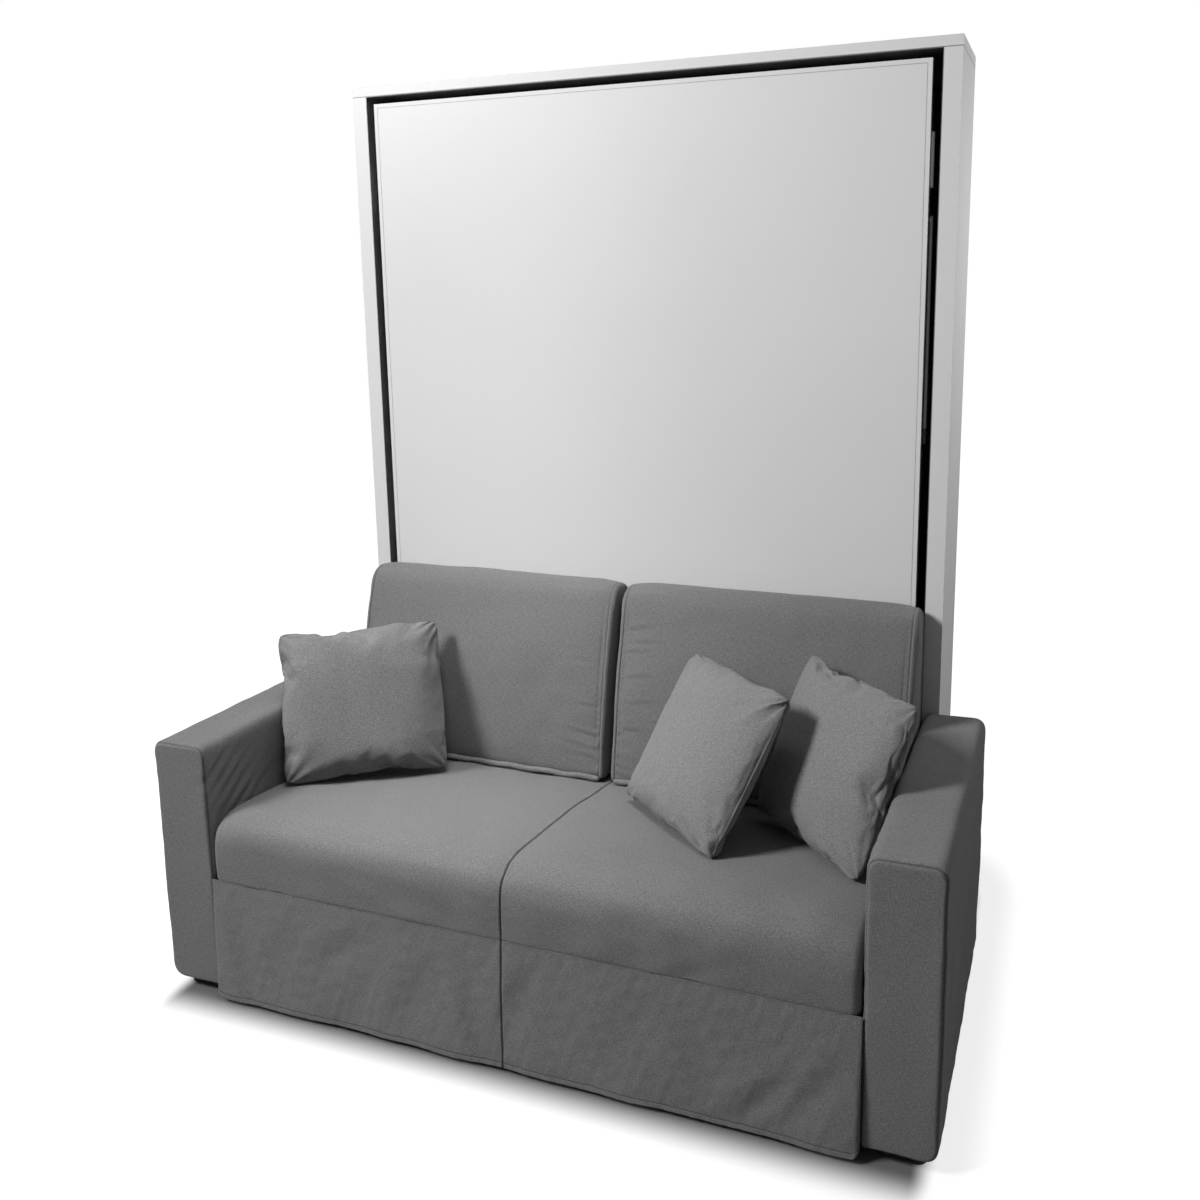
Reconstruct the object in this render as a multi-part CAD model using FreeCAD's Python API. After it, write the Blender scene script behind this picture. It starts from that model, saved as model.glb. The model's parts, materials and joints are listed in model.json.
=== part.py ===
import FreeCAD, Part
import math
import os

# A sofa wall bed: a cabinet with a bed that folds down over the seat of a sofa.
# X runs to the right, Y from the sofa's front to the wall, Z up from the floor.
# The origin is on the floor, in the middle of the whole. Sizes are in millimetres.

os.makedirs("parts", exist_ok=True)

# Cabinet
cabinet_width = 1660.0
cabinet_height = 2286.0
cabinet_depth = 289.0
side_board = 43.0
top_board = 25.4
back_panel = 8.0
base_board = 18.0
base_setback = 20.0
liner = 2.0
cabinet_foot_height = 12.0
cabinet_foot_radius = 18.0
cabinet_foot_inset = 40.0
wall_rail_height = 45.0
wall_rail_depth = 30.0
wall_hole_radius = 4.0
wall_hole_spacing = 1200.0
cabinet_screw_radius = 3.5
cabinet_screw_head_radius = 6.0
cabinet_screw_head = 3.0
cabinet_screw_length = 75.0
cabinet_screw_inset = 60.0
screw_clearance = 0.1

# Sofa, as reaches in front of the cabinet and heights over the floor
sofa_clear_width = 1584.0
arm_width = 154.0
arm_reach = 818.0
arm_top = 652.0
arm_floor_gap = 25.0
arm_top_radius = 24.0
arm_low_radius = 34.0
arm_front_radius = 9.0
arm_foam = 20.0
arm_board = 15.0
arm_foot_radius = 20.0
arm_foot_inset = 26.0
seat_frame_rear = 105.0
seat_frame_bottom = 200.0
seat_frame_height = 88.0
seat_frame_board = 25.0
seat_leg = 40.0
webbing_thickness = 2.0
webbing_width = 60.0
webbing_count = 10
deck_thickness = 10.0
deck_side_gap = 12.0
seat_side_gap = 4.0
seat_rear = 100.0
seat_reach = 821.0
seat_seam_height = 313.0
seat_rear_height = 408.0
seat_crown_reach = 703.0
seat_crown_height = 482.0
seat_nose_height = 395.0
seat_nose_shares = (0.78, 0.77)
seat_rise_shares = (0.50, 0.66)
seat_end_drop = 26.0
seat_seam_draw_share = 0.33
seat_nose_drop_share = 0.5
seat_end_draw = 12.0
seat_end_width = 52.0
seat_seam_dip = 4.0
seat_seam_width = 16.0
round_shares = ((0.0, 1.0), (0.1, 0.56), (0.3, 0.24), (0.6, 0.06), (1.0, 0.0))
skirt_thickness = 3.0
skirt_hem_height = 12.0
skirt_flare = 14.5
skirt_fold_depth = 5.0
skirt_folds_per_half = 3
skirt_top_fold_share = 0.1
skirt_side_gap = 5.0
skirt_back_gap = 0.3
joint_bolt_radius = 5.0
joint_bolt_head_radius = 9.0
joint_bolt_head = 5.0
joint_bolt_spacing = 350.0
bracket_leg = 60.0
bracket_thickness = 4.0
bracket_height = 80.0
bracket_bottom = 120.0

# Back cushions
cushion_gap = 14.0
cushion_gap_offset = 3.0
cushion_rear_gap = 1.0
cushion_seat_gap = 0.8
cushion_front_low = 215.0
cushion_front_high = 112.0
cushion_top_height = 948.0
cushion_shoulder_drop = 36.0
cushion_rear_drop = 23.0
cushion_low_height = 446.0
cushion_low_radius = 12.0
cushion_belly = 20.0
cushion_end_draw = 26.0
cushion_end_drop = 20.0
cushion_end_width = 64.0
cushion_side_gap = 4.0
cushion_rear_draw_share = 0.25
cushion_face_draw_share = 0.5
cushion_welt_share = 0.33

# Pillows, each by its centre, its turn, its lean and its roll
pillow_width = 420.0
pillow_height = 392.0
pillow_thickness = 130.0
pillow_pinch = 9.0
pillow_seat_gap = 0.3
pillow_section_shares = ((0.0, 1.0, 0.07), (0.34, 0.95, 0.16), (0.66, 0.84, 0.3),
                         (0.9, 0.64, 0.42), (1.0, 0.36, 0.5))
corner_bend_share = 0.29
pillow_contact_shares = (0.263, 0.332, 0.564)
pillow_left_side = -622.0
pillow_left_reach = 398.0
pillow_left_turn = 43.0
pillow_left_lean = 24.0
pillow_left_roll = -2.0
pillow_middle_side = 330.0
pillow_middle_reach = 392.0
pillow_middle_turn = -43.0
pillow_middle_lean = 32.0
pillow_middle_roll = 2.0
pillow_right_side = 638.0
pillow_right_reach = 392.0
pillow_right_turn = -45.0
pillow_right_lean = 23.0
pillow_right_roll = 1.0

# Bed
reveal_side = 25.0
reveal_top = 21.6
bed_bottom = 175.0
panel_thickness = 18.0
panel_groove = 0.6
trim_width = 11.0
rail_tube = 40.0
rail_wall = 2.0
rail_end_inset = 10.0
cross_rail_count = 3
slat_count = 14
slat_width = 53.0
slat_thickness = 8.0
slat_play = 0.2
slat_end_inset = 9.0
holder_floor = 2.0
holder_length = 32.0
holder_side = 5.0
holder_edge_inset = 4.0
mattress_thickness = 150.0
mattress_foot_inset = 15.0
mattress_head_inset = 29.0
mattress_side_gap = 3.0
mattress_radius = 22.0
strap_width = 50.0
strap_thickness = 2.0
strap_shares = (0.27, 0.73)

# Lift linkage: a lift arm as long as the way from its lower stud to the roller
link_length = 143.6
link_lean_degrees = 10.0
track_setback = 43.0
roller_height = 315.0
roller_radius = 11.0
roller_width = 8.0
roller_play = 0.2
track_wall = 2.0
track_side_gap = 2.0
track_depth = 18.5
track_end_gap = 3.0
plate_thickness = 6.0
plate_radius = 19.0
plate_low_reach = 62.0
plate_high_reach = 34.0
lift_arm_thickness = 7.0
lift_arm_radius = 18.0
lift_arm_width = 30.0
side_gap = 1.0
cap_gap = 0.5
cap_thickness = 3.5
cap_radius = 9.0
stud_radius = 6.0
stud_head = 4.0
stud_head_radius = 10.0
stud_collar_radius = 9.0
running_clearance = 0.05
bracket_plate = 4.0
bracket_plate_height = 70.0
bracket_plate_width = 36.0
bracket_screw_spacing = 50.0
bracket_screw_radius = 2.5
bracket_screw_head_radius = 4.5
bracket_screw_length = 30.0
plate_bolt_radius = 4.0
plate_bolt_head_radius = 7.5
plate_bolt_head = 3.0
plate_bolt_length = 22.0
plate_bolt_shares = (0.07, 0.40, 0.93)

# Pull springs, one under each roller
cylinder_radius = 6.5
cylinder_bore = 4.6
cylinder_floor = 3.0
piston_radius = 4.5
piston_height = 8.0
piston_gap = 2.0
gland_height = 8.0
rod_radius = 2.6
eye_thickness = 5.0
eye_radius = 10.0

# Legs and guide bars at the bed's sides
leg_pivot_drop = 364.0
leg_setback = 34.0
leg_width = 20.0
leg_thickness = 6.0
leg_edge_gap = 2.0
leg_foot_length = 38.0
leg_foot_width = 24.0
leg_foot_thickness = 8.0
cross_bar_radius = 6.0
cross_bar_collar = 3.0
cross_bar_collar_radius = 10.0
guide_bar_top_drop = 162.0
guide_bar_length = 129.0
guide_bar_width = 16.0
guide_bar_thickness = 6.0
guide_bar_setback = 12.0
guide_bar_stud_radius = 4.0
guide_bar_stud_setback = 23.0
guide_bar_stud_inset = 20.0

# Worked out from the above
sofa_reach = seat_reach + skirt_flare + skirt_fold_depth / 2
overall_depth = cabinet_depth + sofa_reach
wall_y = overall_depth / 2
front_y = wall_y - cabinet_depth
cabinet_half = cabinet_width / 2
inner_half = cabinet_half - side_board
liner_face = inner_half - liner
base_top = cabinet_foot_height + base_board
under_top = cabinet_height - top_board
wall_rail_top = under_top - liner
back_face_y = wall_y - back_panel
clear_half = sofa_clear_width / 2
seat_frame_reach = seat_reach - skirt_thickness - skirt_back_gap

panel_half = inner_half - reveal_side
panel_top = under_top - reveal_top
rail_front_y = front_y + panel_thickness
rail_back_y = rail_front_y + rail_tube
bed_rail_bottom = bed_bottom + rail_end_inset
bed_rail_top = panel_top - rail_end_inset

roller_out = liner_face - track_wall - track_side_gap
roller_in = roller_out - roller_width
eye_out = roller_in - side_gap
eye_in = eye_out - eye_thickness
cap_out = eye_in - side_gap
cap_in = cap_out - cap_thickness
lift_arm_out = cap_in - cap_gap
lift_arm_in = lift_arm_out - lift_arm_thickness
plate_out = lift_arm_in - side_gap
rail_face = plate_out - plate_thickness
rail_inner = rail_face - rail_tube
eye_middle = (eye_in + eye_out) / 2

track_y = front_y + track_setback
link_lean = math.radians(link_lean_degrees)
upper_pivot_z = roller_height + 2 * link_length * math.cos(link_lean)
arm_stud_y = track_y + link_length * math.sin(link_lean)
arm_stud_z = upper_pivot_z - link_length * math.cos(link_lean)
roller_dip = 2 * link_length * (1 - math.cos(link_lean))
roller_open_z = upper_pivot_z - 2 * link_length * math.sin(link_lean)
rod_length = roller_height - roller_dip - base_top - cylinder_floor - piston_gap
piston_open_top = roller_open_z - rod_length + piston_height
gland_bottom = piston_open_top + piston_gap
cylinder_top = gland_bottom + gland_height
track_bottom = cylinder_top + piston_gap
track_top = roller_open_z + roller_radius + track_end_gap

mattress_bottom = bed_bottom + mattress_foot_inset
mattress_length = panel_top - mattress_head_inset - mattress_bottom

leg_y = front_y + leg_setback
leg_z = panel_top - leg_pivot_drop
leg_in = panel_half + leg_edge_gap
leg_out = leg_in + leg_thickness
leg_reach = roller_open_z + leg_setback - track_setback


def box(x0, x1, y0, y1, z0, z1):
    corner = FreeCAD.Vector(x0, y0, z0)
    return Part.makeBox(x1 - x0, y1 - y0, z1 - z0, corner)


def rod_x(radius, x0, x1, y, z):
    """A round bar along X."""
    start = FreeCAD.Vector(x0, y, z)
    return Part.makeCylinder(radius, x1 - x0, start, FreeCAD.Vector(1, 0, 0))


def rod_y(radius, x, y0, y1, z):
    """A round bar along Y."""
    start = FreeCAD.Vector(x, y0, z)
    return Part.makeCylinder(radius, y1 - y0, start, FreeCAD.Vector(0, 1, 0))


def rod_z(radius, x, y, z0, z1):
    """A round bar along Z."""
    return Part.makeCylinder(radius, z1 - z0, FreeCAD.Vector(x, y, z0))


def mirrored(shape):
    """The same piece on the left."""
    return shape.mirror(FreeCAD.Vector(0, 0, 0), FreeCAD.Vector(1, 0, 0))


def fused(shapes):
    whole = shapes[0]
    for shape in shapes[1:]:
        whole = whole.fuse(shape)
    return whole.removeSplitter()


def cut(shape, tools):
    for tool in tools:
        shape = shape.cut(tool)
    return shape


def line(a, b):
    return Part.LineSegment(a, b).toShape()


def arc(a, middle, b):
    return Part.Arc(a, middle, b).toShape()


def save(name, *shapes):
    """Write one node, of one solid or of a group of separate ones."""
    whole = shapes[0] if len(shapes) == 1 else Part.makeCompound(list(shapes))
    whole.exportStep("parts/" + name + ".step")


def save_pair(name, shape):
    """Write the right piece and its mirrored fellow."""
    save(name + "_right", shape)
    save(name + "_left", mirrored(shape))


def tube_x(x0, x1, y0, z0):
    """A square steel tube along X, from its front lower edge."""
    outer = box(x0, x1, y0, y0 + rail_tube, z0, z0 + rail_tube)
    bore = box(x0, x1, y0 + rail_wall, y0 + rail_tube - rail_wall,
               z0 + rail_wall, z0 + rail_tube - rail_wall)
    return outer.cut(bore)


# Cabinet boards
def cabinet_screw_places():
    """The screws through a side board into the base, by depth and height."""
    z = base_top - base_board / 2
    return [(front_y + cabinet_screw_inset, z), (wall_y - cabinet_screw_inset, z)]


def cabinet_screw(y, z, play):
    """A screw from the outer face, or its hole where there is play."""
    tip = cabinet_half - cabinet_screw_length
    seat = cabinet_half - cabinet_screw_head
    shank = rod_x(cabinet_screw_radius + play, tip, cabinet_half, y, z)
    head = rod_x(cabinet_screw_head_radius + play, seat, cabinet_half, y, z)
    return fused([shank, head])


def bracket_screw_places():
    """The two screws of a bracket, over and under its stud."""
    return [upper_pivot_z - bracket_screw_spacing / 2, upper_pivot_z + bracket_screw_spacing / 2]


def bracket_screw(z, play):
    face = liner_face - bracket_plate
    shank = rod_x(bracket_screw_radius + play, face, face + bracket_screw_length, track_y, z)
    head = rod_x(bracket_screw_head_radius + play, face, face + bracket_plate / 2, track_y, z)
    return fused([shank, head])


def make_cabinet():
    holes = [cabinet_screw(y, z, screw_clearance) for y, z in cabinet_screw_places()]
    bracket_holes = [bracket_screw(z, screw_clearance) for z in bracket_screw_places()]
    side = box(inner_half, cabinet_half, front_y, wall_y, cabinet_foot_height, under_top)
    save_pair("cabinet_side", cut(side, holes + bracket_holes))
    save("cabinet_top", box(-cabinet_half, cabinet_half, front_y, wall_y, under_top, cabinet_height))
    base = box(-inner_half, inner_half, front_y + base_setback, back_face_y,
               cabinet_foot_height, base_top)
    both = holes + [mirrored(hole) for hole in holes]
    save("cabinet_base", cut(base, both))
    screws = [cabinet_screw(y, z, 0) for y, z in cabinet_screw_places()]
    screws += [bracket_screw(z, 0) for z in bracket_screw_places()]
    save("cabinet_screws", *(screws + [mirrored(screw) for screw in screws]))
    make_cabinet_back()
    make_liners(bracket_holes)
    make_cabinet_feet()


def wall_holes(y0):
    """The four fixing holes, from y0 to the wall."""
    low = base_top + wall_rail_height / 2
    high = wall_rail_top - wall_rail_height / 2
    half = wall_hole_spacing / 2
    return [rod_y(wall_hole_radius, x, y0, wall_y, z) for x in (-half, half) for z in (low, high)]


def make_cabinet_back():
    holes = wall_holes(front_y)
    back = box(-inner_half, inner_half, back_face_y, wall_y, cabinet_foot_height, under_top)
    save("cabinet_back", cut(back, holes))
    rails = []
    for z0 in (base_top, wall_rail_top - wall_rail_height):
        rail = box(-liner_face, liner_face, back_face_y - wall_rail_depth, back_face_y,
                   z0, z0 + wall_rail_height)
        rails.append(cut(rail, holes))
    save("wall_rails", *rails)


def make_liners(bracket_holes):
    side = box(liner_face, inner_half, front_y, back_face_y, base_top, under_top - liner)
    save_pair("liner", cut(side, bracket_holes))
    top = box(-inner_half, inner_half, front_y, back_face_y, under_top - liner, under_top)
    save("liner_top", top)


def make_cabinet_feet():
    feet = []
    x = cabinet_half - side_board / 2
    for y in (front_y + cabinet_foot_inset, wall_y - cabinet_foot_inset):
        foot = rod_z(cabinet_foot_radius, x, y, 0, cabinet_foot_height)
        feet += [foot, mirrored(foot)]
    save("cabinet_feet", *feet)


# Lift linkage
def make_arm_bracket():
    plate = box(liner_face - bracket_plate, liner_face,
                track_y - bracket_plate_width / 2, track_y + bracket_plate_width / 2,
                upper_pivot_z - bracket_plate_height / 2, upper_pivot_z + bracket_plate_height / 2)
    holes = [bracket_screw(z, screw_clearance) for z in bracket_screw_places()]
    head_in = lift_arm_in - cap_gap - stud_head
    stud = rod_x(stud_radius, head_in, liner_face - bracket_plate, track_y, upper_pivot_z)
    head = rod_x(stud_head_radius, head_in, head_in + stud_head, track_y, upper_pivot_z)
    collar = rod_x(stud_collar_radius, cap_in, liner_face - bracket_plate, track_y, upper_pivot_z)
    save_pair("arm_bracket", fused([cut(plate, holes), stud, head, collar]))


def make_lift_arm():
    """A flat bar with a round hub at each end, from the upper pivot to the bed's stud."""
    bar = box(lift_arm_in, lift_arm_out, -lift_arm_width / 2, lift_arm_width / 2, -link_length, 0)
    bar.rotate(FreeCAD.Vector(0, 0, 0), FreeCAD.Vector(1, 0, 0), link_lean_degrees)
    bar.translate(FreeCAD.Vector(0, track_y, upper_pivot_z))
    hubs = [rod_x(lift_arm_radius, lift_arm_in, lift_arm_out, y, z)
            for y, z in ((track_y, upper_pivot_z), (arm_stud_y, arm_stud_z))]
    bores = [rod_x(stud_radius + running_clearance, lift_arm_in, lift_arm_out, y, z)
             for y, z in ((track_y, upper_pivot_z), (arm_stud_y, arm_stud_z))]
    save_pair("lift_arm", cut(fused([bar] + hubs), bores))


def plate_bolt_heights():
    low = roller_height - plate_low_reach
    high = arm_stud_z + plate_high_reach
    return [low + share * (high - low) for share in plate_bolt_shares]


def plate_bolt(z, play):
    y = rail_front_y + rail_tube / 2
    shank = rod_x(plate_bolt_radius + play, plate_out - plate_bolt_length, plate_out, y, z)
    head = rod_x(plate_bolt_head_radius + play, plate_out - plate_bolt_head, plate_out, y, z)
    return fused([shank, head])


def make_pivot_plate():
    """The plate on the bed's rail, with the lift arm's stud and the roller's stud."""
    low = roller_height - plate_low_reach
    high = arm_stud_z + plate_high_reach
    flat = box(rail_face, plate_out, rail_front_y, rail_back_y, low, high)
    ear = rod_x(plate_radius, rail_face, plate_out, arm_stud_y, arm_stud_z)
    neck = box(rail_face, plate_out, rail_back_y - rail_tube / 2, arm_stud_y,
               arm_stud_z - plate_radius, arm_stud_z + plate_radius)
    holes = [plate_bolt(z, screw_clearance) for z in plate_bolt_heights()]
    plate = cut(fused([flat, neck, ear]), holes)
    arm_stud = rod_x(stud_radius, plate_out, cap_out, arm_stud_y, arm_stud_z)
    cap = rod_x(cap_radius, cap_in, cap_out, arm_stud_y, arm_stud_z)
    roller_stud = rod_x(stud_radius, plate_out, roller_out, track_y, roller_height)
    collar = rod_x(stud_collar_radius, plate_out, eye_in - side_gap, track_y, roller_height)
    save_pair("pivot_plate", fused([plate, arm_stud, cap, roller_stud, collar]))
    bolts = [plate_bolt(z, 0) for z in plate_bolt_heights()]
    save("bed_bolts", *(bolts + [mirrored(bolt) for bolt in bolts]))


def make_track():
    """An upright channel, open towards the bed."""
    half = roller_radius + roller_play
    outer = box(liner_face - track_depth, liner_face,
                track_y - half - track_wall, track_y + half + track_wall, track_bottom, track_top)
    hollow = box(liner_face - track_depth, liner_face - track_wall,
                 track_y - half, track_y + half, track_bottom, track_top)
    save_pair("guide_track", outer.cut(hollow))


def make_roller():
    roller = rod_x(roller_radius, roller_in, roller_out, track_y, roller_height)
    bore = rod_x(stud_radius + running_clearance, roller_in, roller_out, track_y, roller_height)
    save_pair("guide_roller", roller.cut(bore))


def make_spring():
    tube = rod_z(cylinder_radius, eye_middle, track_y, base_top, cylinder_top)
    bore = rod_z(cylinder_bore, eye_middle, track_y, base_top + cylinder_floor, gland_bottom)
    mouth = rod_z(rod_radius + running_clearance, eye_middle, track_y, gland_bottom, cylinder_top)
    save_pair("spring_cylinder", cut(tube, [bore, mouth]))
    low = roller_height - rod_length
    eye = rod_x(eye_radius, eye_in, eye_out, track_y, roller_height)
    bar = rod_z(rod_radius, eye_middle, track_y, low, roller_height - stud_radius)
    piston = rod_z(piston_radius, eye_middle, track_y, low, low + piston_height)
    hole = rod_x(stud_radius + running_clearance, eye_in, eye_out, track_y, roller_height)
    save_pair("spring_rod", cut(fused([eye, bar, piston]), [hole]))


# Bed
def make_panel():
    depth = front_y + panel_thickness
    inner_x = panel_half - trim_width
    inner_top = panel_top - trim_width
    inner_bottom = bed_bottom + trim_width
    outer = box(-panel_half, panel_half, front_y, depth, bed_bottom, panel_top)
    window = box(-inner_x, inner_x, front_y, depth, inner_bottom, inner_top)
    save("face_trim", outer.cut(window))
    panel = box(-inner_x, inner_x, front_y, depth, inner_bottom, inner_top)
    lip = box(-inner_x, inner_x, front_y, front_y + panel_groove, inner_bottom, inner_top)
    face = box(-inner_x + panel_groove, inner_x - panel_groove, front_y, front_y + panel_groove,
               inner_bottom + panel_groove, inner_top - panel_groove)
    save("face_panel", panel.cut(lip.cut(face)))


def cross_rail_heights():
    span = bed_rail_top - bed_rail_bottom - rail_tube
    step = span / (cross_rail_count + 1)
    return [bed_rail_bottom + step * (index + 1) for index in range(cross_rail_count)]


def make_bed_frame():
    outer = box(rail_inner, rail_face, rail_front_y, rail_back_y, bed_rail_bottom, bed_rail_top)
    bore = box(rail_inner + rail_wall, rail_face - rail_wall, rail_front_y + rail_wall,
               rail_back_y - rail_wall, bed_rail_bottom, bed_rail_top)
    holes = [plate_bolt(z, screw_clearance) for z in plate_bolt_heights()]
    holes.append(rod_x(cross_bar_radius + running_clearance, rail_inner, rail_face, leg_y, leg_z))
    save_pair("bed_rail", cut(outer, [bore] + holes))
    save("bed_foot_rail", tube_x(-rail_inner, rail_inner, rail_front_y, bed_rail_bottom))
    save("bed_head_rail", tube_x(-rail_inner, rail_inner, rail_front_y, bed_rail_top - rail_tube))
    cross = [tube_x(-rail_inner, rail_inner, rail_front_y, z) for z in cross_rail_heights()]
    save("bed_cross_rails", *cross)


def slat_heights():
    """The middle of each slat, evenly spread over the rails."""
    pitch = (bed_rail_top - bed_rail_bottom) / slat_count
    return [bed_rail_bottom + pitch * (index + 1 / 2) for index in range(slat_count)]


def make_slats():
    holder_out = rail_face - holder_edge_inset
    holder_in = holder_out - holder_length
    slat_half = holder_out - slat_end_inset
    slat_y = rail_back_y + holder_floor
    slats = []
    holders = []
    for z in slat_heights():
        z0 = z - slat_width / 2
        z1 = z + slat_width / 2
        slats.append(box(-slat_half, slat_half, slat_y, slat_y + slat_thickness, z0, z1))
        block = box(holder_in, holder_out, rail_back_y, slat_y + slat_thickness + holder_floor,
                    z0 - holder_side, z1 + holder_side)
        pocket = box(holder_in, slat_half + slat_play,
                     slat_y - slat_play, slat_y + slat_thickness + slat_play,
                     z0 - slat_play, z1 + slat_play)
        holder = block.cut(pocket)
        holders += [holder, mirrored(holder)]
    save("bed_slats", *slats)
    save("slat_holders", *holders)


def make_mattress():
    front = rail_back_y + slat_thickness + 2 * holder_floor
    back = front + mattress_thickness
    half = rail_face - mattress_side_gap
    low = mattress_bottom
    block = box(-half, half, front, back, low, low + mattress_length)
    save("mattress", block.makeFillet(mattress_radius, block.Edges))
    straps = []
    for share in strap_shares:
        z0 = low + share * mattress_length - strap_width / 2
        outer = box(-half - strap_thickness, half + strap_thickness, rail_back_y,
                    back + strap_thickness, z0, z0 + strap_width)
        inner = box(-half, half, rail_back_y, back, z0, z0 + strap_width)
        straps.append(outer.cut(inner))
    save("mattress_straps", *straps)


def make_legs():
    """The legs hang straight down from a bar through both rails."""
    tip = leg_z - leg_reach
    bar = box(leg_in, leg_out, leg_y - leg_width / 2, leg_y + leg_width / 2, tip + leg_foot_length, leg_z)
    top = rod_x(leg_width / 2, leg_in, leg_out, leg_y, leg_z)
    hole = rod_x(cross_bar_radius, leg_in, leg_out, leg_y, leg_z)
    save_pair("leg", fused([bar, top]).cut(hole))
    middle = (leg_in + leg_out) / 2
    foot = box(middle - leg_foot_thickness / 2, middle + leg_foot_thickness / 2,
               leg_y - leg_foot_width / 2, leg_y + leg_foot_width / 2, tip, tip + leg_foot_length)
    save("leg_feet", foot, mirrored(foot))
    shaft = rod_x(cross_bar_radius, -leg_out, leg_out, leg_y, leg_z)
    collar_in = rail_face + side_gap
    collar = rod_x(cross_bar_collar_radius, collar_in, collar_in + cross_bar_collar, leg_y, leg_z)
    save("leg_cross_bar", fused([shaft, collar, mirrored(collar)]))


def make_guide_bars():
    bar_in = panel_half + side_gap
    bar_out = bar_in + guide_bar_thickness
    top = panel_top - guide_bar_top_drop
    bottom = top - guide_bar_length
    y0 = front_y + guide_bar_setback
    bar = box(bar_in, bar_out, y0, y0 + guide_bar_width, bottom, top)
    ends = [edge for edge in bar.Edges if abs(edge.Length - guide_bar_thickness) < side_gap]
    pieces = [bar.makeFillet(guide_bar_width / 2 - side_gap, ends)]
    for z in (bottom + guide_bar_stud_inset, top - guide_bar_stud_inset):
        pieces.append(rod_x(guide_bar_stud_radius, rail_face, bar_in, front_y + guide_bar_stud_setback, z))
    bars = fused(pieces)
    save("side_guide_bars", bars, mirrored(bars))


# Sofa frames and fixings
def joint_bolt_places():
    """The bolts from the seat frame into an arm, by depth and height."""
    middle = front_y - (seat_frame_reach + seat_frame_rear) / 2
    z = seat_frame_bottom + seat_frame_height / 2
    return [(middle - joint_bolt_spacing / 2, z), (middle + joint_bolt_spacing / 2, z)]


def joint_bolt(y, z, play):
    start = clear_half - seat_frame_board
    end = clear_half + arm_foam + arm_board
    shank = rod_x(joint_bolt_radius + play, start, end, y, z)
    head = rod_x(joint_bolt_head_radius, start - joint_bolt_head, start, y, z)
    return fused([shank, head])


def make_arms():
    x0 = clear_half
    x1 = clear_half + arm_width
    y0 = front_y - arm_reach
    block = box(x0, x1, y0, front_y, arm_floor_gap, arm_top)
    long_top = []
    long_low = []
    front = []
    for edge in block.Edges:
        middle = edge.CenterOfMass
        along_y = abs(edge.Length - arm_reach) < side_gap
        if along_y and middle.z > arm_top / 2:
            long_top.append(edge)
        if along_y and middle.z < arm_top / 2 and middle.x > x0 + arm_width / 2:
            long_low.append(edge)
        if middle.y < y0 + side_gap and middle.z > arm_floor_gap + side_gap:
            front.append(edge)
    block = block.makeFillet(arm_top_radius, long_top)
    low_edge = [edge for edge in block.Edges
                if edge.CenterOfMass.isEqual(long_low[0].CenterOfMass, side_gap)]
    block = block.makeFillet(arm_low_radius, low_edge)
    rim = [edge for edge in block.Edges
           if edge.BoundBox.YMax < y0 + side_gap and edge.CenterOfMass.z > arm_floor_gap + side_gap]
    block = block.makeFillet(arm_front_radius, rim)
    fx0 = x0 + arm_foam
    fx1 = x1 - arm_foam
    fy0 = y0 + arm_foam
    fy1 = front_y - arm_foam
    fz1 = arm_top - arm_foam
    core = box(fx0, fx1, fy0, fy1, arm_floor_gap, fz1)
    holes = [joint_bolt(y, z, screw_clearance) for y, z in joint_bolt_places()]
    save_pair("arm_upholstery", cut(block, [core] + holes))
    room = box(fx0 + arm_board, fx1 - arm_board, fy0 + arm_board, fy1 - arm_board,
               arm_floor_gap, fz1 - arm_board)
    bottom = box(fx0 + arm_board, fx1 - arm_board, fy0 + arm_board, fy1 - arm_board,
                 arm_floor_gap, arm_floor_gap + arm_board)
    save_pair("arm_frame", Part.makeCompound([cut(core, [room] + holes), bottom]))
    feet = []
    for x in (fx0 + arm_foot_inset, fx1 - arm_foot_inset):
        for y in (fy0 + arm_foot_inset, fy1 - arm_foot_inset):
            foot = rod_z(arm_foot_radius, x, y, 0, arm_floor_gap)
            feet += [foot, mirrored(foot)]
    save("sofa_feet", *feet)
    bolts = [joint_bolt(y, z, 0) for y, z in joint_bolt_places()]
    save("sofa_bolts", *(bolts + [mirrored(bolt) for bolt in bolts]))


def make_seat_frame():
    y0 = front_y - seat_frame_reach
    y1 = front_y - seat_frame_rear
    z0 = seat_frame_bottom
    z1 = z0 + seat_frame_height
    board = seat_frame_board
    outer = box(-clear_half, clear_half, y0, y1, z0, z1)
    half = board / 2
    room = box(half, clear_half - board, y0 + board, y1 - board, z0, z1)
    frame = cut(outer, [room, mirrored(room)])
    legs = []
    for y in (y0, y1 - seat_leg):
        legs.append(box(-seat_leg / 2, seat_leg / 2, y, y + seat_leg, 0, z0))
    bolts = [joint_bolt(y, z, screw_clearance) for y, z in joint_bolt_places()]
    save("seat_frame", cut(fused([frame] + legs), bolts + [mirrored(bolt) for bolt in bolts]))
    straps = []
    pitch = 2 * clear_half / webbing_count
    for index in range(webbing_count):
        x = -clear_half + pitch * (index + 1 / 2)
        straps.append(box(x - webbing_width / 2, x + webbing_width / 2, y0, y1,
                          z1, z1 + webbing_thickness))
    save("seat_webbing", *straps)
    deck_half = clear_half - deck_side_gap
    deck_z = z1 + webbing_thickness
    save("seat_deck", box(-deck_half, deck_half, y0, y1, deck_z, deck_z + deck_thickness))


def make_brackets():
    """Angle plates that hold the arms' back ends to the cabinet's sides."""
    z0 = bracket_bottom
    z1 = z0 + bracket_height
    plate = box(cabinet_half, cabinet_half + bracket_thickness,
                front_y, front_y + bracket_leg, z0, z1)
    foot = box(cabinet_half, cabinet_half + bracket_leg,
               front_y, front_y + bracket_thickness, z0, z1)
    angle = fused([plate, foot])
    save("sofa_brackets", angle, mirrored(angle))


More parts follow.
